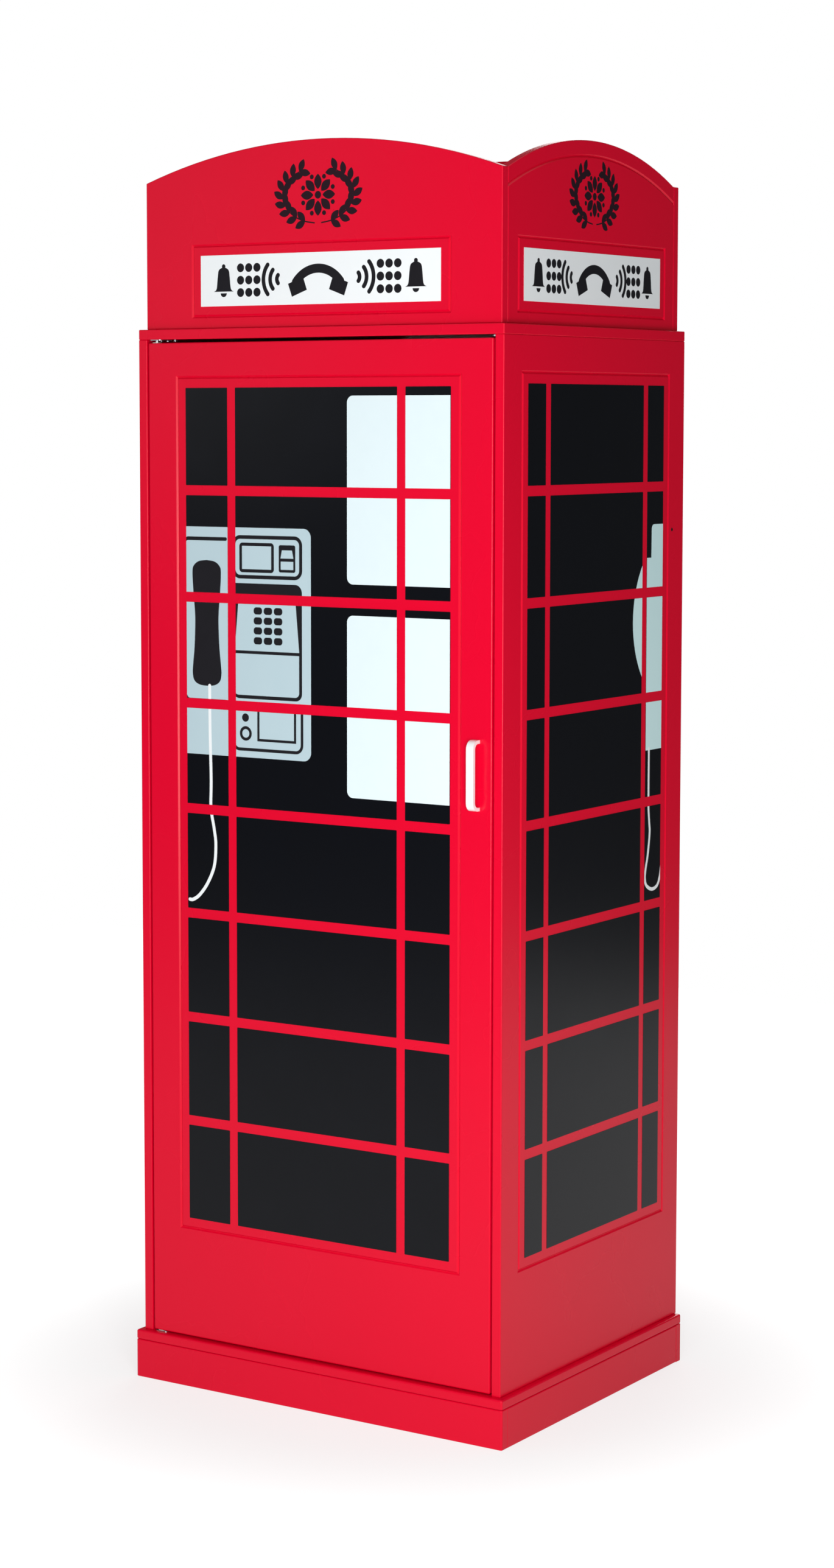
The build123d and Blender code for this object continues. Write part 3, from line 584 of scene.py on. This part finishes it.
@dataclass
class Print:
    """One colour of a print: a very thin layer with the outline of its shapes."""

    name: str
    finish: Finish
    slot: str
    layer: int
    shapes: list[Outline] = field(default_factory=list)

    def lay(self, ground: Ground) -> bpy.types.Object:
        """Lays the colour on a face, cut to the windows of the face.

        Args:
            ground: The face that takes the print.

        Returns:
            The new piece.
        """
        points: list[Vector] = []
        faces: list[list[int]] = []
        for shape in self.shapes:
            faces.append(list(range(len(points), len(points) + len(shape))))
            points += [Vector(point) for point in anticlockwise(shape)]
        corners, _, flats, _, _, owners = delaunay_2d_cdt(points, [], faces, 0, CORNER_JOIN, True)
        triangles = [[tuple(corners[i]) for i in flat] for flat, owner in zip(flats, owners) if owner]
        if ground.windows:
            cut = [clip(triangle, window) for triangle in triangles for window in ground.windows]
            triangles = [piece for piece in cut if piece]
        base = self.layer * INK_THICKNESS
        mesh = self._plate(triangles, ground, base - INK_SINK, base + INK_THICKNESS)
        piece = bpy.data.objects.new(self.name, mesh)
        bpy.context.scene.collection.objects.link(piece)
        mesh.materials.append(self.finish.material())
        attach(piece, ground.body)
        LOG.info("%s: %d faces on %s", self.name, len(mesh.polygons), ground.body)
        return piece

    def _plate(
        self, faces: list[Outline], ground: Ground, under: float, over: float
    ) -> bpy.types.Mesh:
        """Makes a closed thin plate from faces that lie side by side.

        Args:
            faces: Convex faces in the plane of the print.
            ground: The face of the board.
            under: Lift of the plate's back in millimetres.
            over: Lift of the plate's front in millimetres.

        Returns:
            The mesh of the plate.
        """
        sheet = bmesh.new()
        corners: dict[tuple[int, int], bmesh.types.BMVert] = {}
        for outline in faces:
            ring: list[bmesh.types.BMVert] = []
            for u, z in outline:
                key = (round(u * WELD_STEPS), round(z * WELD_STEPS))
                if key not in corners:
                    corners[key] = sheet.verts.new(ground.place(u, z, under))
                if corners[key] not in ring:
                    ring.append(corners[key])
            if len(ring) > 2 and sheet.faces.get(ring) is None:
                sheet.faces.new(ring)
        grown = bmesh.ops.extrude_face_region(sheet, geom=sheet.faces[:])
        rise = ground.place(0, 0, over) - ground.place(0, 0, under)
        raised = [item for item in grown["geom"] if isinstance(item, bmesh.types.BMVert)]
        bmesh.ops.translate(sheet, verts=raised, vec=rise)
        bmesh.ops.recalc_face_normals(sheet, faces=sheet.faces[:])
        mesh = bpy.data.meshes.new(self.name)
        sheet.to_mesh(mesh)
        sheet.free()
        return mesh


@dataclass
class PostersPrint:
    """The two blank notices printed on the right of the door's panes."""

    left: float = 56.5
    right: float = 232.0
    corner: float = 10.0
    heights: tuple[tuple[str, float, float], ...] = (("upper", 1232.0, 1503.0), ("lower", 922.0, 1187.0))

    def lay(self, ground: Ground) -> None:
        """Lays both notices on the door's panes.

        Args:
            ground: The door's panes.
        """
        for name, low, high in self.heights:
            radii = (self.corner, 0.0, 0.0, self.corner)
            notice = rounded_box((self.left, low), (self.right, high), radii)
            Print(f"notice_{name}", POSTER_PRINT, "sign_white", 0, [notice]).lay(ground)


@dataclass
class WallPhonePrint:
    """The wall telephone printed on the left of the door's panes."""

    left: float = -236.0
    right: float = -7.0
    low: float = 970.5
    high: float = 1310.5
    corner: float = 13.0
    frame_line: float = 5.4
    display_line: float = 4.8
    lower_line: float = 4.6
    ring_line: float = 4.4
    card_line: float = 3.8
    cord_width: float = 5.2
    key_corner: float = 4.6
    key_size: Point = (15.2, 10.6)
    key_pitch: Point = (18.2, 14.7)
    first_key: Point = (-101.8, 1144.2)
    handset_shape: tuple[Point, ...] = (
        (-195.2, 1261.0),
        (-209.9, 1259.0),
        (-218.8, 1252.5),
        (-221.4, 1243.0),
        (-219.9, 1215.0),
        (-217.2, 1185.0),
        (-216.7, 1165.0),
        (-218.3, 1130.0),
        (-220.9, 1105.0),
        (-221.7, 1092.0),
        (-218.8, 1081.0),
        (-209.4, 1075.0),
        (-195.2, 1073.5),
    )
    cord_line: tuple[Point, ...] = (
        (-190.5, 1074.0),
        (-190.0, 1002.0),
        (-188.5, 935.0),
        (-189.3, 896.0),
        (-187.7, 881.0),
        (-183.0, 858.0),
        (-180.3, 836.0),
        (-183.2, 804.0),
        (-195.5, 777.0),
        (-210.5, 758.0),
        (-222.5, 750.0),
        (-229.0, 749.5),
    )

    def lay(self, ground: Ground) -> None:
        """Lays the case, its line work, the light fields, the keys, the handset and the cord.

        Args:
            ground: The door's panes.
        """
        radii = (0.0, self.corner, self.corner, 0.0)
        case = rounded_box((self.left, self.low), (self.right, self.high), radii)
        cord = stroke(smooth(list(self.cord_line)), self.cord_width)
        Print("phone_case", PHONE_PRINT, "sign_white", 0, [case]).lay(ground)
        Print("phone_line_work", INK, "pane_black", 1, self._line_work()).lay(ground)
        Print("phone_light_fields", PHONE_PRINT, "sign_white", 2, self._light_fields()).lay(ground)
        Print("phone_keys", INK, "pane_black", 3, self._keys()).lay(ground)
        Print("phone_handset", INK, "pane_black", 3, [self._handset()]).lay(ground)
        Print("phone_cord", CORD_PRINT, "sign_white", 4, cord).lay(ground)

    def _line_work(self) -> list[Outline]:
        """Draws the dark lines and the dark fields of the case.

        Returns:
            The outlines, some of them on top of each other.
        """
        shapes: list[Outline] = []
        cradle_top = [*arc((-229.0, 1284.8), 8.0, 170.0, 90.0, 6), (-160.5, 1292.8)]
        cradle_foot = [*arc((-227.0, 1059.5), 8.0, 200.0, 270.0, 6), (-160.5, 1051.5)]
        shapes += stroke(cradle_top, self.frame_line) + stroke(cradle_foot, self.frame_line)
        upper_frame = rounded_box((-145.0, 1238.0), (-25.0, 1296.5), (11.0, 11.0, 11.0, 11.0))
        shapes += stroke(upper_frame, self.frame_line, closed=True)
        display = rounded_box((-132.7, 1247.0), (-75.2, 1286.0), (3.0, 3.0, 3.0, 3.0))
        shapes += stroke(display, self.display_line, closed=True)
        shapes.append(rounded_box((-64.0, 1246.0), (-34.5, 1286.0), (3.0, 3.0, 3.0, 3.0)))
        shapes.append(rounded_box((-147.0, 1057.8), (-22.9, 1228.5), (11.0, 11.0, 12.0, 4.0)))
        shapes.append(disc((-125.0, 1029.5), 6.2))
        shapes += stroke(disc((-124.5, 1006.0), 8.6), self.ring_line, closed=True)
        card = [(-101.5, 1046.0), (-101.5, 997.3), (-35.5, 997.3), (-35.5, 1046.0)]
        shapes += stroke(card, self.card_line)
        lower_frame = rounded_box((-146.0, 982.3), (-23.1, 1047.0), (10.0, 11.0, 4.0, 4.0))
        shapes += stroke(lower_frame, self.lower_line, closed=True)
        return shapes

    def _light_fields(self) -> list[Outline]:
        """Draws the light fields on the dark ones.

        Returns:
            The outlines of the slot cover, the slot window, the key field and the lower flap.
        """
        slot_cover = [(-60.8, 1266.5), (-37.8, 1266.5), (-40.3, 1278.5), (-58.3, 1278.5)]
        slot_window = [(-60.5, 1250.0), (-38.0, 1250.0), (-38.0, 1262.0), (-60.5, 1262.0)]
        key_field = [(-144.0, 1129.0), (-27.8, 1129.0), (-34.6, 1206.0), (-136.8, 1206.0)]
        flap = rounded_box((-145.0, 1063.0), (-28.0, 1124.5), (8.0, 7.0, 0.0, 0.0))
        return [slot_cover, slot_window, key_field, flap]

    def _keys(self) -> list[Outline]:
        """Draws the keys.

        Returns:
            The outlines of four rows of three keys.
        """
        shapes: list[Outline] = []
        half_u, half_z = self.key_size[0] / 2, self.key_size[1] / 2
        for column in range(3):
            for row in range(4):
                u = self.first_key[0] + column * self.key_pitch[0]
                z = self.first_key[1] + row * self.key_pitch[1]
                radii = (self.key_corner,) * 4
                shapes.append(rounded_box((u - half_u, z - half_z), (u + half_u, z + half_z), radii))
        return shapes

    def _handset(self) -> Outline:
        """Draws the handset, both halves from one.

        Returns:
            The outline of the handset.
        """
        half = smooth(list(self.handset_shape), 6)
        middle = self.handset_shape[0][0]
        return half + [(2 * middle - u, z) for u, z in reversed(half[1:-1])]


@dataclass
class SidePhonePrint:
    """The telephone seen from its side, printed on the rear columns of a side panel."""

    cord_line: tuple[Point, ...] = (
        (170.0, 972.0),
        (170.0, 901.0),
        (170.5, 880.0),
        (173.0, 859.5),
        (174.5, 843.0),
        (169.5, 812.0),
        (162.5, 788.0),
        (160.8, 774.0),
        (166.0, 763.0),
        (182.5, 756.0),
        (199.0, 759.5),
        (207.5, 772.5),
        (211.5, 790.0),
    )
    cord_width: float = 5.4

    def lay(self, ground: Ground) -> None:
        """Lays the case, the cheek of the handset and the cord.

        Args:
            ground: The panes of one side panel.
        """
        name = ground.side.value
        crown = [(173.0, 1261.4), *arc((180.8, 1304.5), 7.2, 175.0, 90.0, 8)]
        crown += [(212.0, 1311.7), (212.0, 1261.4)]
        case = rounded_box((159.8, 970.0), (212.0, 1261.5), (0.0, 0.0, 0.0, 0.0))
        cheek = arc((255.5, 1167.0), 138.0, 142.0, 218.0, 30)
        shapes = [crown, case, cheek]
        Print(f"side_phone_{name}", SIDE_PRINT, "sign_white", 0, shapes).lay(ground)
        cord = stroke(smooth(list(self.cord_line)), self.cord_width)
        Print(f"side_cord_{name}", CORD_PRINT, "sign_white", 1, cord).lay(ground)


@dataclass
class SignPictograms:
    """The row of pictograms on a white sign: bells, key pads, sound waves and a handset."""

    height: float = 48.0
    fill: float = 0.9
    key_radius: float = 6.4
    wave_radii: tuple[float, ...] = (9.0, 21.0, 33.0)
    wave_line: float = 6.4
    wave_half_turn: float = 40.0
    grip_line: float = 13.0

    def lay(self, node: str, side: Side) -> None:
        """Lays the row on one sign.

        Args:
            node: Name of the white film.
            side: The face of the cabinet that it is on.
        """
        low, high = (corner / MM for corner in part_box(node))
        axis = 0 if side is Side.FRONT else 1
        middle = (low[axis] + high[axis]) / 2
        mid_z = (low.z + high.z) / 2
        width = (high[axis] - low[axis]) * self.fill
        row = ((-0.445, self.bell), (-0.325, self.pad), (-0.205, self.waves_left), (0.0, self.handset))
        shapes: list[Outline] = []
        for share, pictogram in row:
            for direction in (1, -1) if share else (1,):
                for outline in pictogram():
                    shapes.append([(middle + direction * (share * width + u), mid_z + z) for u, z in outline])
        piece = Print(f"pictograms_{side.value}", INK, "pane_black", 0, shapes)
        piece.lay(ground_of(node, side, "cabinet", False))

    def bell(self) -> list[Outline]:
        """Draws a bell.

        Returns:
            The outlines of the dome, the knob and the clapper.
        """
        half = self.height / 2
        right = [(3.0, half - 5), (9.0, half - 9), (11.0, half - 20), (13.0, -half + 12), (18.0, -half + 8)]
        dome = smooth(right, 5)
        shapes = [dome + [(-u, z) for u, z in reversed(dome)]]
        shapes.append(disc((0.0, half - 3.2), 3.2))
        shapes.append(arc((0.0, -half + 5.6), 5.6, 180.0, 360.0, 12))
        return shapes

    def pad(self) -> list[Outline]:
        """Draws a pad of nine round keys.

        Returns:
            The outlines of the keys.
        """
        pitch = (0.82 * (self.height / 2 - 6.0), self.height / 2 - 6.0)
        steps = (-1, 0, 1)
        return [disc((u * pitch[0], z * pitch[1]), self.key_radius) for u in steps for z in steps]

    def waves_left(self) -> list[Outline]:
        """Draws three sound waves that open to the left.

        Returns:
            The outlines of the waves.
        """
        shapes: list[Outline] = []
        for radius in self.wave_radii:
            wave = arc((14.0, 0.0), radius, 180.0 - self.wave_half_turn, 180.0 + self.wave_half_turn, 14)
            shapes += stroke(wave, self.wave_line)
        return shapes

    def handset(self) -> list[Outline]:
        """Draws a handset that lies on its back.

        Returns:
            The outlines of the grip and of its two ends.
        """
        shapes = stroke(arc((0.0, -36.0), 50.0, 142.0, 38.0, 24), self.grip_line)
        for direction in (1, -1):
            block = [(-14.0, -13.0), (14.0, -13.0), (14.0, 7.0), (-14.0, 7.0)]
            lean = math.radians(-20.0 * direction)
            c, s = math.cos(lean), math.sin(lean)
            turned = [(direction * 37.0 + u * c - z * s, -9.0 + u * s + z * c) for u, z in block]
            shapes.append(turned)
        return shapes


@dataclass
class WreathStencil:
    """The stencilled ornament on an arched header board: a rosette inside a leafy wreath."""

    width: float = 144.0
    height: float = 98.0
    mid_z: float = 1791.0
    leaves: int = 9
    leaf_size: Point = (19.5, 10.5)
    leaf_lean: float = 38.0
    stem_line: float = 1.9
    petals: int = 8
    petal_size: Point = (22.0, 13.0)
    petal_root: float = 8.0
    bead_ring: float = 28.0
    bead_radius: float = 3.4
    eye_radius: float = 5.5

    def lay(self, node: str, side: Side) -> None:
        """Lays the ornament on one header board.

        Args:
            node: Name of the header board.
            side: The face of the cabinet that it is on.
        """
        low, high = (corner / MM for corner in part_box(node))
        axis = 0 if side is Side.FRONT else 1
        middle = (low[axis] + high[axis]) / 2
        drawn = self._rosette() + self._wreath()
        shapes = [[(middle + u, self.mid_z + z) for u, z in outline] for outline in drawn]
        piece = Print(f"wreath_{side.value}", EMBLEM_INK, "pane_black", 0, shapes)
        piece.lay(ground_of(node, side, "cabinet", False))

    def _rosette(self) -> list[Outline]:
        """Draws petals round a disc, with a ring of beads.

        Returns:
            The outlines of the disc, the petals and the beads.
        """
        shapes = [disc((0.0, 0.0), self.eye_radius)]
        step = 360.0 / self.petals
        for petal in range(self.petals):
            turn = petal * step
            along = math.radians(turn)
            root = (self.petal_root * math.cos(along), self.petal_root * math.sin(along))
            shapes.append(leaf(root, turn, *self.petal_size))
            bead = math.radians(turn + step / 2)
            place = (self.bead_ring * math.cos(bead), self.bead_ring * math.sin(bead))
            shapes.append(disc(place, self.bead_radius))
        return shapes

    def _wreath(self) -> list[Outline]:
        """Draws two sprays of leaves that rise from the foot of the ornament.

        Returns:
            The outlines of the stems and the leaves.
        """
        shapes: list[Outline] = []
        half_u, half_z = self.width / 2 - 11.0, self.height / 2 - 9.0
        for direction in (1, -1):
            turns = [math.radians(-84.0 + 142.0 * i / self.leaves) for i in range(self.leaves + 1)]
            stem = [(direction * half_u * math.cos(t), half_z * math.sin(t)) for t in turns]
            shapes += stroke(smooth(stem, 4), self.stem_line)
            for here, after in zip(stem, stem[1:]):
                along = math.degrees(math.atan2(after[1] - here[1], after[0] - here[0]))
                for lean in (self.leaf_lean, -self.leaf_lean):
                    shapes.append(leaf(after, along + lean, *self.leaf_size))
        return shapes


# ---- Sub-assemblies of the cabinet ----


def dress(finish: Finish, *nodes: str) -> None:
    """Gives parts of the cabinet their finish.

    Args:
        finish: The finish.
        nodes: Names of the parts.
    """
    for node in nodes:
        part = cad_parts[node]
        if not part.material_slots:
            part.data.materials.append(finish.material())
        for slot in part.material_slots:
            slot.material = finish.material()
        LOG.info("%s: %s", node, finish.name)


@dataclass
class Carcass:
    """The boards of the cabinet below its header, with the black panes of its sides."""

    side_print: SidePhonePrint = field(default_factory=SidePhonePrint)

    def build(self) -> None:
        """Dresses the boards and prints the panes of both sides."""
        dress(RED_LACQUER, "side_panel_left", "side_panel_right", "top_board", "base_board", "shelf")
        dress(PANE_FILM, "side_panes_left", "side_panes_right")
        dress(HARDBOARD, "back_panel")
        for side in (Side.RIGHT, Side.LEFT):
            ground = ground_of(f"side_panes_{side.value}", side, "cabinet", True)
            self.side_print.lay(ground)


@dataclass
class Plinth:
    """The foot of the cabinet, with the blocks and screws inside its corners."""

    def build(self) -> None:
        """Dresses the plinth."""
        dress(RED_LACQUER, "plinth_front", "plinth_back", "plinth_left", "plinth_right")
        dress(BEECH, "plinth_corner_blocks")
        dress(ZINC_STEEL, "plinth_block_screws", "base_board_screws")


@dataclass
class Header:
    """The arched box on top of the cabinet, with its three signs and three ornaments."""

    pictograms: SignPictograms = field(default_factory=SignPictograms)
    ornament: WreathStencil = field(default_factory=WreathStencil)
    side_ornament: WreathStencil = field(default_factory=lambda: WreathStencil(width=137.0))

    def build(self) -> None:
        """Dresses the header and prints its front and sides."""
        dress(RED_LACQUER, "header_front", "header_back", "header_left", "header_right")
        dress(SIGN_FILM, "sign_front", "sign_left", "sign_right")
        dress(BEECH, "header_corner_blocks")
        dress(ZINC_STEEL, "header_block_screws", "top_board_screws")
        for side in Side:
            self.pictograms.lay(f"sign_{side.value}", side)
            ornament = self.ornament if side is Side.FRONT else self.side_ornament
            ornament.lay(f"header_{side.value}", side)


@dataclass
class Door:
    """The door with its panes, its pull and the prints on its panes."""

    posters: PostersPrint = field(default_factory=PostersPrint)
    telephone: WallPhonePrint = field(default_factory=WallPhonePrint)

    def build(self) -> None:
        """Dresses the door and prints its panes."""
        dress(RED_LACQUER, "door")
        dress(PANE_FILM, "door_panes")
        dress(WHITE_ENAMEL, "door_handle")
        dress(ZINC_STEEL, "handle_screws", "strike_plate", "strike_screw")
        dress(NYLON, "pivot_bushes")
        ground = ground_of("door_panes", Side.FRONT, "door", True)
        self.posters.lay(ground)
        self.telephone.lay(ground)


@dataclass
class Fittings:
    """The joining hardware, the hanging rail, the door pivots and the catch."""

    def build(self) -> None:
        """Dresses the fittings."""
        dress(ZINC_CASTING, "cam_locks")
        dress(ZINC_STEEL, "cam_bolts", "back_nails", "shelf_pins", "rail_socket_screws", "wall_bracket")
        dress(ZINC_STEEL, "wall_bracket_screws", "pivot_plates", "pivot_plate_screws", "pivot_pins")
        dress(ZINC_STEEL, "catch_poles", "catch_screws")
        dress(BEECH, "dowels")
        dress(BLACK_SCREW, "shelf_screws")
        dress(CHROME_TUBE, "hanging_rail")
        dress(WHITE_PLASTIC, "rail_sockets", "catch_housing")
        dress(FERRITE, "catch_magnet")


# ---- Studio ----


@dataclass(frozen=True)
class Softbox:
    """A large soft light that is aimed at a point."""

    name: str
    place: Place
    target: Place
    size: Point
    power: float

    def build(self) -> bpy.types.Object:
        """Hangs the light.

        Returns:
            The light object.
        """
        lamp = bpy.data.lights.new(self.name, "AREA")
        lamp.shape = "RECTANGLE"
        lamp.size, lamp.size_y = self.size
        lamp.energy = self.power
        holder = bpy.data.objects.new(self.name, lamp)
        holder.location = self.place
        aim = Vector(self.target) - Vector(self.place)
        holder.rotation_euler = aim.to_track_quat("-Z", "Y").to_euler()
        holder.visible_camera = False
        bpy.context.scene.collection.objects.link(holder)
        LOG.info("light %s: %.0f W", self.name, self.power)
        return holder


@dataclass
class Studio:
    """A white room: a pale glowing floor with a painted shadow round the cabinet, white backdrop, soft lights
    and the camera.
    """

    floor_half: float = 3.2
    floor_shade: Colour = (0.30, 0.30, 0.30)
    # Floor glow near and far from the middle. The lower glow near the middle is a painted shadow round the
    # cabinet's foot.
    floor_glow_with_painted_shadow: Point = (0.72, 1.0)
    painted_shadow_reach: Point = (0.36, 0.95)
    floor_bounce: float = 0.58
    backdrop: float = 1.0
    room_light: float = 0.08
    eye: Place = (2.6476, -4.0928, 1.4686)
    heading: float = 33.709
    tilt: float = -5.339
    lens: float = 73.665
    middle_shift: Point = (0.033, -0.0411)
    lights: tuple[Softbox, ...] = (
        Softbox("overhead_softbox", (0.2, -0.6, 4.2), (0.0, -0.1, 0.0), (5.0, 5.0), 46.0),
        Softbox("front_softbox", (1.8, -4.4, 1.3), (0.0, -0.2, 0.9), (2.4, 2.2), 82.0),
        Softbox("side_softbox", (1.5, -1.9, 0.95), (0.32, -0.2, 0.95), (0.5, 1.0), 28.0),
        Softbox("left_softbox", (-3.7, -4.4, 2.3), (0.0, -0.2, 1.3), (1.8, 2.2), 10.0),
        Softbox("rear_softbox", (-1.3, 4.2, 2.2), (0.0, 0.0, 1.0), (2.6, 2.4), 60.0),
    )

    def build(self) -> None:
        """Sets up the floor, the backdrop, the lights and the camera."""
        self._floor()
        self._backdrop()
        for light in self.lights:
            light.build()
        self._camera()
        view = bpy.context.scene.view_settings
        view.view_transform = "Standard"
        view.look = "None"
        view.exposure = 0.0
        view.gamma = 1.0

    def _floor(self) -> None:
        """Lays the floor. It glows, and glows less near the middle: a painted shadow round the cabinet's
        foot.
        """
        half = self.floor_half
        mesh = bpy.data.meshes.new("studio_floor")
        corners = [(-half, -half, 0.0), (half, -half, 0.0), (half, half, 0.0), (-half, half, 0.0)]
        mesh.from_pydata(corners, [], [(0, 1, 2, 3)])
        floor = bpy.data.objects.new("studio_floor", mesh)
        bpy.context.scene.collection.objects.link(floor)
        paper = bpy.data.materials.new("studio_paper")
        paper.use_nodes = True
        shader = paper.node_tree.nodes["Principled BSDF"]
        shader.inputs["Base Color"].default_value = (*self.floor_shade, 1.0)
        shader.inputs["Roughness"].default_value = 0.9
        shader.inputs["Specular IOR Level"].default_value = 0.0
        shader.inputs["Emission Color"].default_value = (1.0, 1.0, 1.0, 1.0)
        nodes, links = paper.node_tree.nodes, paper.node_tree.links
        place = nodes.new("ShaderNodeTexCoord")
        distance = nodes.new("ShaderNodeVectorMath")
        distance.operation = "LENGTH"
        links.new(place.outputs["Object"], distance.inputs[0])
        # Painted shadow: the floor's glow falls off towards the middle, which darkens the floor round the
        # cabinet's foot.
        glow = nodes.new("ShaderNodeMapRange")
        glow.interpolation_type = "SMOOTHSTEP"
        glow.inputs["From Min"].default_value, glow.inputs["From Max"].default_value = self.painted_shadow_reach
        glow.inputs["To Min"].default_value, glow.inputs["To Max"].default_value = self.floor_glow_with_painted_shadow
        links.new(distance.outputs["Value"], glow.inputs["Value"])
        ray = nodes.new("ShaderNodeLightPath")
        share = nodes.new("ShaderNodeMapRange")
        share.inputs["To Min"].default_value = self.floor_bounce
        links.new(ray.outputs["Is Camera Ray"], share.inputs["Value"])
        strength = nodes.new("ShaderNodeMath")
        strength.operation = "MULTIPLY"
        links.new(glow.outputs["Result"], strength.inputs[0])
        links.new(share.outputs["Result"], strength.inputs[1])
        links.new(strength.outputs["Value"], shader.inputs["Emission Strength"])
        mesh.materials.append(paper)

    def _backdrop(self) -> None:
        """Makes the white backdrop, which lights the object more softly than it looks."""
        world = bpy.data.worlds.new("white_room")
        bpy.context.scene.world = world
        world.use_nodes = True
        nodes, links = world.node_tree.nodes, world.node_tree.links
        nodes.clear()
        output = nodes.new("ShaderNodeOutputWorld")
        seen = nodes.new("ShaderNodeBackground")
        seen.inputs["Strength"].default_value = self.backdrop
        seen.inputs["Color"].default_value = (1.0, 1.0, 1.0, 1.0)
        glow = nodes.new("ShaderNodeBackground")
        glow.inputs["Strength"].default_value = self.room_light
        glow.inputs["Color"].default_value = (0.95, 0.98, 1.0, 1.0)
        ray = nodes.new("ShaderNodeLightPath")
        choice = nodes.new("ShaderNodeMixShader")
        links.new(ray.outputs["Is Camera Ray"], choice.inputs["Fac"])
        links.new(glow.outputs["Background"], choice.inputs[1])
        links.new(seen.outputs["Background"], choice.inputs[2])
        links.new(choice.outputs["Shader"], output.inputs["Surface"])

    def _camera(self) -> None:
        """Sets up the camera."""
        lens = bpy.data.cameras.new("camera")
        lens.sensor_width = 36.0
        lens.lens = self.lens
        lens.shift_x, lens.shift_y = self.middle_shift
        lens.clip_start, lens.clip_end = 0.05, 100.0
        camera = bpy.data.objects.new("camera", lens)
        camera.location = self.eye
        camera.rotation_euler = (math.radians(90.0 + self.tilt), 0.0, math.radians(self.heading))
        bpy.context.scene.collection.objects.link(camera)
        bpy.context.scene.camera = camera


def main() -> None:
    """Builds the sub-assemblies in order, then the studio."""
    logging.basicConfig(level=logging.INFO, format="%(name)s %(message)s")
    for assembly in (Plinth(), Carcass(), Header(), Door(), Fittings()):
        LOG.info("building %s", type(assembly).__name__)
        assembly.build()
    Studio().build()


if __name__ == "__main__":
    main()
